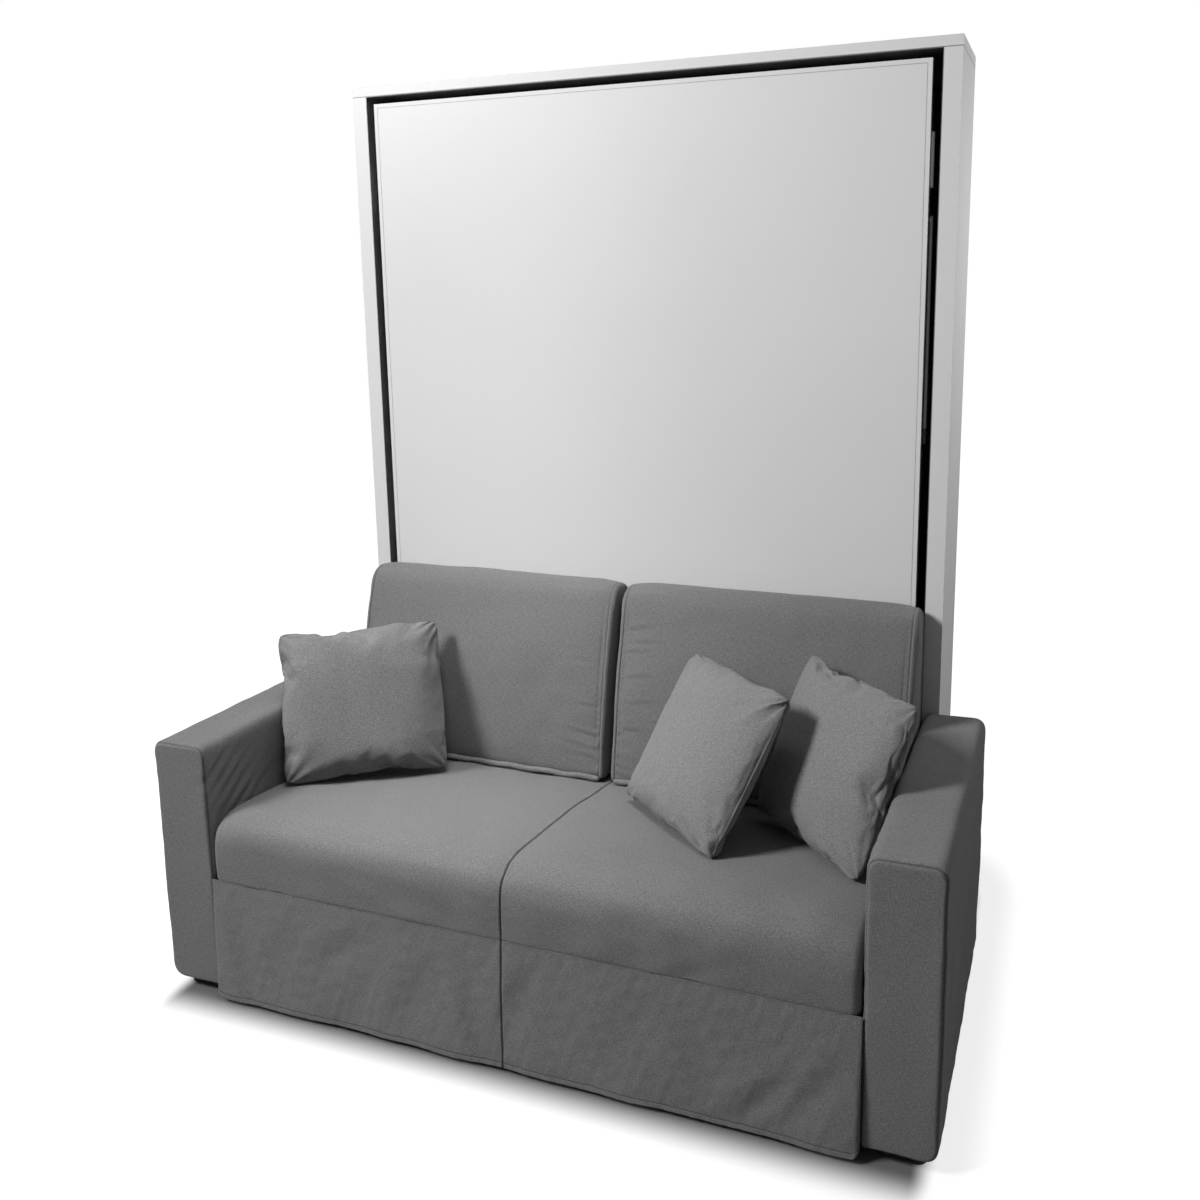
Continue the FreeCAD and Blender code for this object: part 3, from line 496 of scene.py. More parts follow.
def set_inputs(tree, node, inputs):
    """Give a node's inputs their values or links, by name with _ for a space, or by place as in at0."""
    for key, value in inputs.items():
        numbered = key.startswith("at") and key[2:].isdigit()
        socket = node.inputs[int(key[2:]) if numbered else key.replace("_", " ")]
        if isinstance(value, bpy.types.NodeSocket):
            tree.links.new(value, socket)
        else:
            socket.default_value = value


def add_node(tree, kind, settings=None, **inputs):
    """One node, with settings as its properties and inputs as values or sockets."""
    node = tree.nodes.new(kind)
    for key, value in (settings or {}).items():
        setattr(node, key, value)
    set_inputs(tree, node, inputs)
    return node


def calc(tree, operation, first, second=0.0, third=None):
    """The result of one sum, on numbers or sockets."""
    inputs = {"at0": first, "at1": second}
    if third is not None:
        inputs["at2"] = third
    return add_node(tree, "ShaderNodeMath", {"operation": operation}, **inputs).outputs[0]


def vector_calc(tree, operation, first, second=(0.0, 0.0, 0.0)):
    """The result of one sum, on vectors."""
    node = add_node(tree, "ShaderNodeVectorMath", {"operation": operation}, at0=first, at1=second)
    return node.outputs[0]


def stretched(tree, vector, sizes):
    return vector_calc(tree, "MULTIPLY", vector, sizes)


def scaled(tree, vector, factor):
    node = add_node(tree, "ShaderNodeVectorMath", {"operation": "SCALE"}, at0=vector, Scale=factor)
    return node.outputs[0]


def ramp(tree, value, start, end, top=1.0, shape="LINEAR"):
    """From 0 at the start to the top at the end, straight or with soft ends."""
    node = add_node(tree, "ShaderNodeMapRange", {"interpolation_type": shape},
                    Value=value, at1=start, at2=end, at4=top)
    return node.outputs[0]


def noise(tree, vector, scale, detail=2.0, rough=0.5):
    node = add_node(tree, "ShaderNodeTexNoise", None,
                    Vector=vector, Scale=scale, Detail=detail, Roughness=rough)
    return node.outputs[0]


def new_group(name, numbers, results):
    """An empty shader group: a vector and named numbers go in, and named numbers come out."""
    tree = bpy.data.node_groups.new(name, "ShaderNodeTree")
    tree.interface.new_socket(name="Vector", in_out="INPUT", socket_type="NodeSocketVector")
    for label, value in numbers.items():
        socket = tree.interface.new_socket(name=label, in_out="INPUT", socket_type="NodeSocketFloat")
        socket.default_value = value
    for label in results:
        tree.interface.new_socket(name=label, in_out="OUTPUT", socket_type="NodeSocketFloat")
    return tree, tree.nodes.new("NodeGroupInput").outputs


def close_group(tree, *values):
    """Link the values to the group's outputs, in their order."""
    sink = tree.nodes.new("NodeGroupOutput")
    for value, socket in zip(values, sink.inputs):
        tree.links.new(value, socket)
    return tree


def weave_group():
    """Plain weave: the height is the product of two sines across the threads, made uneven by noise
    that is drawn out along each thread, and the tone is light and dark yarn mixed at random."""
    tree, source = new_group("plain_weave", {"Thread": 0.001, "Mottle": 1.0}, ("Height", "Tone"))
    threads = scaled(tree, source["Vector"], calc(tree, "DIVIDE", 1.0, source["Thread"]))
    parts = add_node(tree, "ShaderNodeSeparateXYZ", None, at0=threads)
    warp, weft = (calc(tree, "SINE", calc(tree, "MULTIPLY", parts.outputs[k], math.pi)) for k in (0, 1))
    cross = calc(tree, "MULTIPLY_ADD", calc(tree, "MULTIPLY", warp, weft), 0.5, 0.5)
    along = noise(tree, stretched(tree, threads, (0.09, 0.9, 1.0)), 1.0)
    over = noise(tree, stretched(tree, threads, (0.9, 0.09, 1.0)), 1.0)
    yarn = calc(tree, "ADD", along, over)
    height = calc(tree, "MULTIPLY_ADD", yarn, 0.6, cross)
    fleck = noise(tree, stretched(tree, threads, (0.36, 0.36, 0.36)), 1.0, 3.0, 0.7)
    tone = calc(tree, "SUBTRACT", calc(tree, "MULTIPLY_ADD", yarn, 0.5, fleck), 1.0)
    return close_group(tree, height, calc(tree, "MULTIPLY_ADD", tone, source["Mottle"], 1.0))


def patch_group():
    """Broad soft patches, as cloth, boards and paint have where light, dust and hands have been."""
    tree, source = new_group("broad_patches", {"Scale": 3.0, "Amount": 0.1}, ("Tone", "Mask"))
    broad = noise(tree, source["Vector"], source["Scale"], 3.0)
    tone = calc(tree, "MULTIPLY_ADD", calc(tree, "SUBTRACT", broad, 0.5), source["Amount"], 1.0)
    return close_group(tree, tone, ramp(tree, broad, 0.35, 0.65))


def grain_group():
    """Wood grain along X: rings from a wave bent by noise, with fine pores drawn out along the grain."""
    tree, source = new_group("wood_grain", {"Scale": 1.0}, ("Tone", "Height"))
    place = scaled(tree, source["Vector"], source["Scale"])
    bent = noise(tree, stretched(tree, place, (1.2, 14.0, 14.0)), 1.0, 3.0, 0.55)
    rings = calc(tree, "SINE", calc(tree, "MULTIPLY", bent, 38.0))
    pores = noise(tree, stretched(tree, place, (22.0, 900.0, 900.0)), 1.0, 2.0, 0.6)
    tone = calc(tree, "MULTIPLY_ADD", rings, 0.12, calc(tree, "MULTIPLY_ADD", pores, 0.5, 0.72))
    return close_group(tree, tone, pores)


def peel_group():
    """The fine even grain of laminate, paint and moulded plastic."""
    tree, source = new_group("fine_peel", {"Scale": 900.0}, ("Height", "Mask"))
    fine = noise(tree, source["Vector"], source["Scale"], 2.0, 0.6)
    return close_group(tree, fine, ramp(tree, fine, 0.3, 0.7))


def brush_group():
    """Scratches of brushed or drawn steel, long along Z."""
    tree, source = new_group("drawn_steel", {"Scale": 1.0}, ("Height", "Roughness"))
    place = scaled(tree, source["Vector"], source["Scale"])
    lines = noise(tree, stretched(tree, place, (1500.0, 1500.0, 30.0)), 1.0, 3.0, 0.6)
    return close_group(tree, lines, calc(tree, "MULTIPLY_ADD", lines, 0.28, 0.18))


def joint_and_shade_line_group():
    """Thin lines along the outline of a rectangle in X and Z, as where boards meet, and as the painted shade
    where boards end at the wall. The mask is 1 on the line, and comes from how far a point lies from the
    outline."""
    numbers = {"Half X": 1.0, "Half Z": 1.0, "Middle Z": 0.0, "Width": 0.001}
    tree, source = new_group("joint_line", numbers, ("Mask",))
    parts = add_node(tree, "ShaderNodeSeparateXYZ", None, at0=source["Vector"])
    side = calc(tree, "SUBTRACT", calc(tree, "ABSOLUTE", parts.outputs[0]), source["Half X"])
    rise = calc(tree, "ABSOLUTE", calc(tree, "SUBTRACT", parts.outputs[2], source["Middle Z"]))
    rise = calc(tree, "SUBTRACT", rise, source["Half Z"])
    off = calc(tree, "ABSOLUTE", calc(tree, "MAXIMUM", side, rise))
    near = calc(tree, "SUBTRACT", 1.0, calc(tree, "DIVIDE", off, source["Width"]))
    return close_group(tree, ramp(tree, near, 0.0, 1.0, shape="SMOOTHSTEP"))


GROUP_MAKERS = {
    "plain_weave": weave_group, "broad_patches": patch_group, "wood_grain": grain_group,
    "fine_peel": peel_group, "drawn_steel": brush_group, "joint_line": joint_and_shade_line_group,
}


def use_group(tree, name, **inputs):
    """Place a shared group, made the first time it is asked for."""
    shared = bpy.data.node_groups.get(name) or GROUP_MAKERS[name]()
    return add_node(tree, "ShaderNodeGroup", {"node_tree": shared}, **inputs).outputs


def new_finish(name):
    """An empty material with its own shader: gives the tree, the shader and Object coordinates."""
    material = bpy.data.materials.new(name)
    material.use_nodes = True
    tree = material.node_tree
    shader = tree.nodes["Principled BSDF"]
    place = tree.nodes.new("ShaderNodeTexCoord").outputs["Object"]
    return material, tree, shader, place


def toned(tree, colour, *tones):
    """A colour multiplied by the tones, which vary over the surface."""
    product = tones[0]
    for tone in tones[1:]:
        product = calc(tree, "MULTIPLY", product, tone)
    return scaled(tree, tuple(colour), product)


def bump(tree, shader, height, strength, distance, **more):
    node = add_node(tree, "ShaderNodeBump", None, Height=height, Strength=strength, Distance=distance, **more)
    set_inputs(tree, shader, {"Normal": node.outputs[0]})
    return node.outputs[0]


def cloth_finish(name, colour, thread, mottle, sheen):
    """Woven cloth: mixed yarn, with painted shade in its seams and grooves, lighter where it is brushed."""
    material, tree, shader, place = new_finish(name)
    weave_map = add_node(tree, "ShaderNodeUVMap", {"uv_map": WEAVE_MAP}).outputs[0]
    weave = use_group(tree, "plain_weave", Vector=weave_map, Thread=thread, Mottle=mottle)
    patches = use_group(tree, "broad_patches", Vector=place, Scale=4.0, Amount=0.10)
    # Painted shade: the mesh's share of shade darkens the colour by up to four fifths
    seam = add_node(tree, "ShaderNodeAttribute", {"attribute_name": SEAM_SHADE}).outputs["Fac"]
    shade = calc(tree, "MULTIPLY_ADD", seam, -0.8, 1.0)
    set_inputs(tree, shader, {
        "Base Color": toned(tree, colour, weave["Tone"], patches["Tone"], shade),
        "Roughness": calc(tree, "MULTIPLY_ADD", weave["Height"], 0.08, 0.78),
        "Sheen Weight": sheen, "Sheen Roughness": 0.45, "Specular IOR Level": 0.25})
    soft = bump(tree, shader, noise(tree, place, 30.0), 0.12, 0.004)
    bump(tree, shader, weave["Height"], 0.55, 0.0007, Normal=soft)
    return material


def board_lines_and_wall_shade(tree, place):
    """Thin dark lines round the bed's face inside its edging and under the cabinet's top board, where boards
    meet, and a line of painted shade where the boards end at the wall. The last one takes the depth for the
    height, by a quarter turn about X."""
    low, high = node_box("face_panel")
    under_top = node_box("cabinet_top")[0][2]
    wide = cad_high[0] * 2
    depth = add_node(tree, "ShaderNodeVectorRotate", {"rotation_type": "X_AXIS"},
                     Vector=place, Angle=math.pi / 2).outputs[0]
    shade = None
    # The first two lines are joints; the third, where the boards end at the wall, is painted shade
    for vector, half_x, half_z, middle, width, dark in (
            (place, high[0], (high[2] - low[2]) / 2, (high[2] + low[2]) / 2, 0.0016, -0.38),
            (place, wide, under_top, 0.0, 0.0022, -0.75), (depth, wide, cad_high[1], 0.0, 0.006, -0.7)):
        line = use_group(tree, "joint_line", Vector=vector, Half_X=half_x, Half_Z=half_z, Middle_Z=middle,
                         Width=width)
        tone = calc(tree, "MULTIPLY_ADD", line["Mask"], dark, 1.0)
        shade = tone if shade is None else calc(tree, "MULTIPLY", shade, tone)
    return shade


def hard_finish(name, colour, grain, patches, dent, rough, tone=None, joints=False, **values):
    """Boards, paint, metal, plastic or wood: a fine grain and broad patches over one colour. The bump
    follows the grain. Rough and tone name the output they follow, its group, its gain and its start."""
    material, tree, shader, place = new_finish(name)
    groups = {
        "grain": use_group(tree, grain[0], Vector=place, Scale=grain[1]),
        "patches": use_group(tree, "broad_patches", Vector=place, Scale=patches[0], Amount=patches[1]),
    }

    def follow(group, socket, gain=1.0, start=0.0, power=None):
        value = groups[group][socket]
        if power:
            value = calc(tree, "POWER", value, power)
        return calc(tree, "MULTIPLY_ADD", value, gain, start)

    tones = [follow(*tone)] if tone else []
    tones.append(groups["patches"]["Tone"])
    # Joint lines, and a painted shade line where the boards end at the wall
    if joints:
        tones.append(board_lines_and_wall_shade(tree, place))
    base = toned(tree, colour, *tones)
    set_inputs(tree, shader, {"Base Color": base, "Roughness": follow(*rough), **values})
    bump(tree, shader, groups["grain"]["Height"], *dent)
    return material


# A colour is a setting's name or its own three numbers. The reveal's lining has a little lint on it.
BOARD = {
    "grain": ("fine_peel", 520.0), "patches": (1.6, 0.05), "dent": (0.12, 0.0006),
    "tone": ("grain", "Mask", 0.035, 0.982), "Specular_IOR_Level": 0.42,
}
PAINT = {
    "grain": ("fine_peel", 380.0), "patches": (7.0, 0.12), "dent": (0.25, 0.0008),
    "rough": ("patches", "Mask", 0.12, 0.34), "Specular_IOR_Level": 0.5, "Coat_Weight": 0.15,
    "Coat_Roughness": 0.3,
}
WOOD = {"patches": (6.0, 0.3), "dent": (0.3, 0.0006), "tone": ("grain", "Tone")}
HARD_FINISHES = {
    "cabinet_white": {
        **BOARD, "colour": "laminate", "rough": ("patches", "Mask", 0.08, 0.36), "joints": True},
    "back_board": {**BOARD, "colour": (0.05, 0.05, 0.052), "rough": ("patches", "Mask", 0.08, 0.6)},
    "reveal_black": {
        "colour": "reveal", "grain": ("fine_peel", 700.0), "patches": (9.0, 0.8), "dent": (0.5, 0.0008),
        "tone": ("grain", "Mask", 1.6, 0.8, 6.0), "rough": ("grain", "Mask", 0.2, 0.34),
        "Specular_IOR_Level": 0.5},
    "frame_paint": {**PAINT, "colour": "paint"},
    "bar_paint": {**PAINT, "colour": (0.85, 0.85, 0.85)},
    "bright_steel": {
        "colour": "steel", "grain": ("drawn_steel", 1.0), "patches": (22.0, 0.25), "dent": (0.18, 0.0004),
        "rough": ("grain", "Roughness"), "Metallic": 1.0},
    "black_plastic": {
        "colour": (0.02, 0.02, 0.021), "grain": ("fine_peel", 1300.0), "patches": (30.0, 0.4),
        "dent": (0.3, 0.0005), "rough": ("grain", "Mask", 0.15, 0.42)},
    "slat_wood": {
        **WOOD, "colour": "slat", "grain": ("wood_grain", 1.0), "rough": ("grain", "Height", 0.2, 0.35)},
    "frame_timber": {
        **WOOD, "colour": "timber", "grain": ("wood_grain", 1.4), "rough": ("grain", "Height", 0.2, 0.55)},
}


def finish_for(slot):
    """The material of a slot of the record, made once. Cloth has a colour, its thread's width, how
    mixed its yarn is, and its sheen."""
    scene = bpy.context.scene
    cloth = scene.sofa_cloth
    cloths = {
        CLOTH_SLOT: (cloth.colour, cloth.thread, 1.7, 0.12),
        "pillow_grey": (cloth.pillow_colour, cloth.thread, 1.7, 0.12),
        "mattress_cover": ((0.60, 0.60, 0.585), 0.0016, 0.12, 0.1),
        "strap_black": ((0.022, 0.022, 0.024), 0.0022, 0.9, 0.1),
        "webbing_cloth": ((0.05, 0.048, 0.045), 0.0026, 1.0, 0.1),
    }
    name = "finish_" + slot
    made = bpy.data.materials.get(name)
    if made:
        return made
    if slot in cloths:
        return cloth_finish(name, *cloths[slot])
    settings = dict(HARD_FINISHES[slot])
    colour = settings.pop("colour")
    if isinstance(colour, str):
        colour = getattr(scene.shell_colours, colour)
    return hard_finish(name, colour, **settings)


# Operators, one for each piece or group of like pieces

class PaintHardPieces(bpy.types.Operator):
    """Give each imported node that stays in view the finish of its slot"""

    bl_idname = "sofa_wall_bed.paint_hard_pieces"
    bl_label = "Paint hard pieces"

    def execute(self, context):
        slots = {row["node"]: row["material_slot"] for row in frame["record"]["subparts"]}
        # The wall rails take the back board's dark finish: painted shade, as dark as the shade deep in the
        # cabinet where they stand
        slots["wall_rails"] = "back_board"
        slots["side_guide_bars"] = "bar_paint"
        for name, node in frame["nodes"].items():
            for slot in node.material_slots:
                slot.material = finish_for(slots[name])
        return {"FINISHED"}


# Sizes of the soft pieces, in metres. Outlines are (Y, Z). A crease is its middle's two places, its
# angle, half length, half width and depth. A ripple is its depth, length and seed, and a wave is its
# depth, length and shift.
SEAT_TOP = [
    (0.1745, 0.4000), (0.1725, 0.4080), (0.0900, 0.4215), (0.0315, 0.4320), (-0.1155, 0.4540),
    (-0.2575, 0.4680), (-0.3415, 0.4760), (-0.4285, 0.4815), (-0.4815, 0.4795), (-0.5095, 0.4690),
    (-0.5315, 0.4520), (-0.5430, 0.4250), (-0.5465, 0.3920), (-0.5470, 0.3500), (-0.5462, 0.3220)]
SEAT_LIP = [(-0.5462, 0.3220), (-0.5450, 0.3165), (-0.5412, 0.3138), (-0.5360, 0.3130)]
SEAT_UNDER = [(0.1745, 0.40), (0.1745, 0.3005), (-0.536, 0.3005), (-0.536, 0.313)]
SEAT_SPINE = ((-0.42, 0.375), (0.12, 0.352))
SEAT_END_RADIUS = 0.022
SEAT_RIPPLES = [(0.0011, 0.16, 3), (0.0005, 0.05, 4)]
SEAT_FOOT = 0.3135
SEAT_FOOT_SHADE = 0.0030
SEAT_HOLLOW_WIDTH = 0.03
SEAT_HOLLOW_DEPTH = 0.0022
SEAT_END_SEAM = 0.024
SEAT_END_SEAM_DEPTH = 0.0016
SEAT_END_DROP = 0.011
PUCKER_PITCH = 0.034
PUCKER_DEPTH = 0.0007
SEAT_CREASES = [
    (-0.60, -0.86, 0.5, 0.10, 0.018, 0.0022), (0.45, -0.88, 2.7, 0.12, 0.022, 0.002),
    (-0.18, -0.90, 0.2, 0.14, 0.026, 0.002), (0.20, -0.84, 2.9, 0.10, 0.018, 0.0015)]
SKIRT_TOP = 0.3165
SKIRT_FRONT = -0.5448
SKIRT_BACK = -0.5446
SKIRT_WAVES = [(0.0024, 0.47, 0.9), (0.0016, 0.21, 2.0)]
SKIRT_EDGE_WAVES = [(0.0018, 0.62, -1.9)]
SKIRT_EDGE_RIPPLES = [(0.0008, 0.15, 8)]
SKIRT_RIPPLES = [(0.0005, 0.03, 9)]
SKIRT_END_RISE = 0.012
SKIRT_END_REACH = 0.020
HEM_STITCH_WIDTH = 0.0012
HEM_STITCH_DEPTH = 0.0012
HEM_STEP = 0.0010
SKIRT_CREASES = [
    (-0.70, 0.12, 1.75, 0.14, 0.030, 0.0050), (-0.56, 0.20, 1.2, 0.10, 0.040, 0.0035),
    (-0.40, 0.22, 0.65, 0.10, 0.034, 0.0055), (-0.36, 0.10, 1.3, 0.10, 0.040, 0.0040),
    (-0.22, 0.13, 1.0, 0.12, 0.040, 0.0040), (-0.07, 0.13, 1.75, 0.14, 0.026, 0.0036),
    (0.05, 0.20, 1.25, 0.12, 0.030, 0.0050), (0.11, 0.14, 2.3, 0.10, 0.040, 0.0060),
    (0.30, 0.16, 1.1, 0.12, 0.050, 0.0036), (0.47, 0.12, 1.9, 0.10, 0.040, 0.0040),
    (0.60, 0.09, 0.75, 0.09, 0.026, 0.0070), (0.70, 0.12, 0.95, 0.10, 0.024, 0.0060)]
CUSHION_FRONT = [
    (0.2700, 0.9150), (0.2600, 0.9330), (0.2350, 0.9455), (0.2080, 0.9465), (0.1830, 0.9360),
    (0.1640, 0.9120), (0.1420, 0.8450), (0.1120, 0.7400), (0.0880, 0.6300), (0.0700, 0.5300),
    (0.0605, 0.4650), (0.0602, 0.4420), (0.0655, 0.4310)]
CUSHION_BACK = [(0.27, 0.915), (0.0655, 0.431), (0.0780, 0.4255), (0.2715, 0.4105), (0.2725, 0.60)]
CUSHION_SPINE = ((0.175, 0.86), (0.170, 0.50))
CUSHION_END_RADIUS = 0.015
CUSHION_SEAM = 0.0165
CUSHION_SEAM_DEPTH = 0.0014
CUSHION_RIPPLES = [(0.0013, 0.20, 5), (0.0005, 0.06, 6)]
CUSHION_PUFF = 0.011
CUSHION_SINK = 0.004
CUSHION_CORNER_DROP = 0.010
CUSHION_CORNER_REACH = 0.09
TUCK_PITCH = 0.027
TUCK_DEPTH = 0.0015
# Each side's seed, the way from its inner end into it, and the heights of the creases at that end
CUSHION_SIDES = {
    "left": (11, -1, (0.492, 0.519, 0.553, 0.626, 0.742)),
    "right": (12, 1, (0.575, 0.648, 0.713, 0.776, 0.803, 0.838)),
}
WELT_PLACE = (0.0612, 0.4372)
# How much closer a pillow's cells lie at its edges, and its pressure and stiffness while it is blown up
CELL_CURVE = 0.86
PILLOW_PRESSURE = 2.4
PILLOW_STIFFNESS = 22.0
PILLOW_BENDING = 0.35
# Each pillow's turn about Z, its lean and its roll in degrees, and its seed
PILLOW_PLACES = {
    "pillow_left": (43.0, 24.0, -2.0, 31),
    "pillow_middle": (-43.0, 32.0, 2.0, 32),
    "pillow_right": (-45.0, 23.0, 1.0, 33),
}
ARM_END_RADIUS = 0.011
ARM_CORNER_RADII = [0.010, 0.030, 0.030, 0.036]
ARM_RIPPLES = [(0.0010, 0.17, 0), (0.0004, 0.05, 1)]
ARM_SEAM = 0.0036
ARM_SEAM_WIDTH = 0.0017
ARM_SEAM_DEPTH = 0.0016
ARM_CROWN = 0.0010
# The creases over an arm's inner side: how many, how far behind the front end and how high the first
# one lies, the step back and down to the next, and their half length, half width and depth
ARM_INNER_CREASES = 6
ARM_CREASE_START = (0.055, 0.600)
ARM_CREASE_STEP = (0.017, 0.030)
ARM_CREASE_SHAPE = (0.060, 0.0085, 0.0029)
ARM_OUTER_CREASES = [
    (-0.46, 0.30, 1.4, 0.16, 0.035, 0.0020), (-0.20, 0.45, 1.2, 0.14, 0.040, 0.0016),
    (0.05, 0.28, 1.7, 0.18, 0.040, 0.0018)]
QUILT_PITCH = 0.115
QUILT_DEPTH = 0.0065
# How far off the mattress's middle its sewn tape lies, as a share of its depth
TAPE_PLACE = 0.34
TAPE_WIDTH = 0.004
TAPE_RISE = 0.0008
MATTRESS_RIPPLES = [(0.0006, 0.08, 51)]
MATTRESS_END_RADIUS = 0.026
MATTRESS_CORNER_RADIUS = 0.030


class MakeSeat(bpy.types.Operator):
    """The seat: one cover over both halves, sewn together in the middle"""

    bl_idname = "sofa_wall_bed.make_seat"
    bl_label = "Make seat"

    def execute(self, context):
        """A block along X over the outline. Bell curves sink it at the middle seam, in the hollow round that
        and at both end seams, a sine puckers the hollow, and a square lowers its top towards both ends."""
        cloth = context.scene.sofa_cloth
        low, high = node_box("seat_cushion")
        places = lines_at(low[0], high[0], 150, np.linspace(-0.02, 0.02, 41))
        grid, normal, cap = soft_block(
            self.outline(), SEAT_SPINE, low[0], high[0], SEAT_END_RADIUS, places, "xyz")
        x, y, z = np.moveaxis(grid, 2, 0)
        shown = level(z, 0.303, 0.02)
        seam = valley(x, cloth.seam_width)
        hollow = valley(x, SEAT_HOLLOW_WIDTH)
        edge = valley(np.abs(x) - (high[0] - SEAT_END_SEAM), cloth.seam_width)
        moved = -cloth.seam_depth * seam - SEAT_HOLLOW_DEPTH * hollow - SEAT_END_SEAM_DEPTH * edge
        moved += unevenness(grid, SEAT_RIPPLES)
        pucker = np.sin(2 * np.pi * (y * 1.1 - z) / PUCKER_PITCH + 2 * ripple(grid, 0.09, 5))
        moved += PUCKER_DEPTH * pucker * hollow * (np.abs(x) > 0.004)
        moved += creases(x, y - z, SEAT_CREASES)
        grid = pushed(grid, normal, moved * shown, cap)
        grid[..., 2] -= SEAT_END_DROP * level(np.abs(x), 0.66, 0.128) ** 2 * level(z, 0.36, 0.08)
        # Painted shade: darker in the middle and end seams, and a dark line under the front lip where the
        # cover tucks over the skirt
        foot = valley(z - SEAT_FOOT, SEAT_FOOT_SHADE) * (y < -0.53)
        shade_marks = np.maximum(np.maximum(seam ** 3, 0.75 * edge ** 3) * shown, 0.9 * foot)
        add_cover("seat_cover", grid, cap, (1, 2), shade_marks, ROOT, CLOTH_SLOT, ["seat_cushion"])
        return {"FINISHED"}

    def outline(self):
        """The cover's top and front, the lip over the skirt, and the flat underside."""
        under = rounded_outline(SEAT_UNDER, [0.001, 0.012, 0.002, 0.001], 80)
        under = np.roll(under, -int(np.argmin(np.linalg.norm(under - SEAT_UNDER[-1], axis=1))), axis=0)
        if under[3, 1] > 0.3125 and under[3, 0] > -0.53:
            under = under[::-1]
        under = under[((under[:, 1] < 0.3118) | (under[:, 0] > 0.17)) & (under[:, 1] < 0.3985)]
        return np.vstack([smooth_line(SEAT_TOP, 150), smooth_line(SEAT_LIP, 12)[1:], under])


class MakeSkirt(bpy.types.Operator):
    """The skirt: a hung sheet with soft folds, a seam in the middle and a turned-up hem"""

    bl_idname = "sofa_wall_bed.make_skirt"
    bl_label = "Make skirt"

    def execute(self, context):
        """A grid of the way along the cloth and its height. The way runs straight, then a quarter circle
        round each side. The cloth flares forward with the power 0.8 of its fall and waves with the power
        1.6, the seam and the hem's stitches are bell curves, and the hem's ends rise with a square."""
        cloth, skirt = context.scene.sofa_cloth, context.scene.sofa_skirt
        top, bottom = SKIRT_TOP, skirt.hem_height
        half, turn = skirt.half_width, skirt.corner
        quarter = turn * np.pi / 2
        flat = half - turn
        ends = np.linspace(0, quarter + turn, 12)
        path = lines_at(-flat, flat, 230, np.linspace(-0.015, 0.015, 25), flat + ends, -flat - ends)
        down = lines_at(bottom, top, 70, np.linspace(bottom, bottom + 0.02, 22))[::-1]
        path, z = np.meshgrid(path, down, indexing="ij")
        past = np.clip(np.abs(path) - flat, 0, None)
        angle = np.clip(past / turn, 0, np.pi / 2)
        x = np.sign(path) * (np.minimum(np.abs(path), flat) + turn * np.sin(angle))
        back = (1 - np.cos(angle)) * 0.5 + 0.5 * level(past, quarter, turn)
        fall = level(top - z, 0.0, top - bottom)
        y = SKIRT_FRONT - skirt.flare * fall ** 0.8
        y += even_waves(x, SKIRT_WAVES) * fall ** 1.6
        y -= 0.7 * creases(x, z, SKIRT_CREASES) * np.clip(fall * 3.2, 0, 1)
        seam = valley(x, cloth.seam_width)
        hem = bottom + skirt.hem_band
        band = valley(z - hem, HEM_STITCH_WIDTH)
        y += 0.9 * cloth.seam_depth * seam + HEM_STITCH_DEPTH * band
        y -= HEM_STEP * (z < hem)
        low_edge = even_waves(x, SKIRT_EDGE_WAVES) + unevenness(x[..., None], SKIRT_EDGE_RIPPLES)
        round_end = SKIRT_END_RISE * level(np.abs(x), half - SKIRT_END_REACH, SKIRT_END_REACH) ** 2
        z = z + np.maximum(low_edge + round_end, 0.0) * fall ** 6
        y += unevenness(np.stack([x, z], axis=2), SKIRT_RIPPLES)
        y = y + back * (SKIRT_BACK - y)
        # Painted shade: darker in the middle seam, in the hem's groove and along the top under the seat's lip
        shade_marks = np.maximum(seam ** 3, 0.75 * band) + 0.5 * valley(z - top, 0.004)
        mesh = self.face_front(sheet_mesh("skirt_cloth", np.stack([x, y, z], axis=2), False, shade_marks))
        piece = add_piece("skirt_cloth", mesh, ROOT, CLOTH_SLOT, ["skirt"])
        wall = piece.modifiers.new("thickness", "SOLIDIFY")
        wall.thickness = skirt.cloth
        wall.offset = -1.0
        return {"FINISHED"}

    def face_front(self, mesh):
        """Turn the open sheet's faces towards the front."""
        work = bmesh.new()
        work.from_mesh(mesh)
        bmesh.ops.recalc_face_normals(work, faces=work.faces)
        work.faces.ensure_lookup_table()
        if work.faces[len(work.faces) // 2].normal.y > 0:
            bmesh.ops.reverse_faces(work, faces=work.faces)
        work.to_mesh(mesh)
        work.free()
        return shade_smooth(mesh)


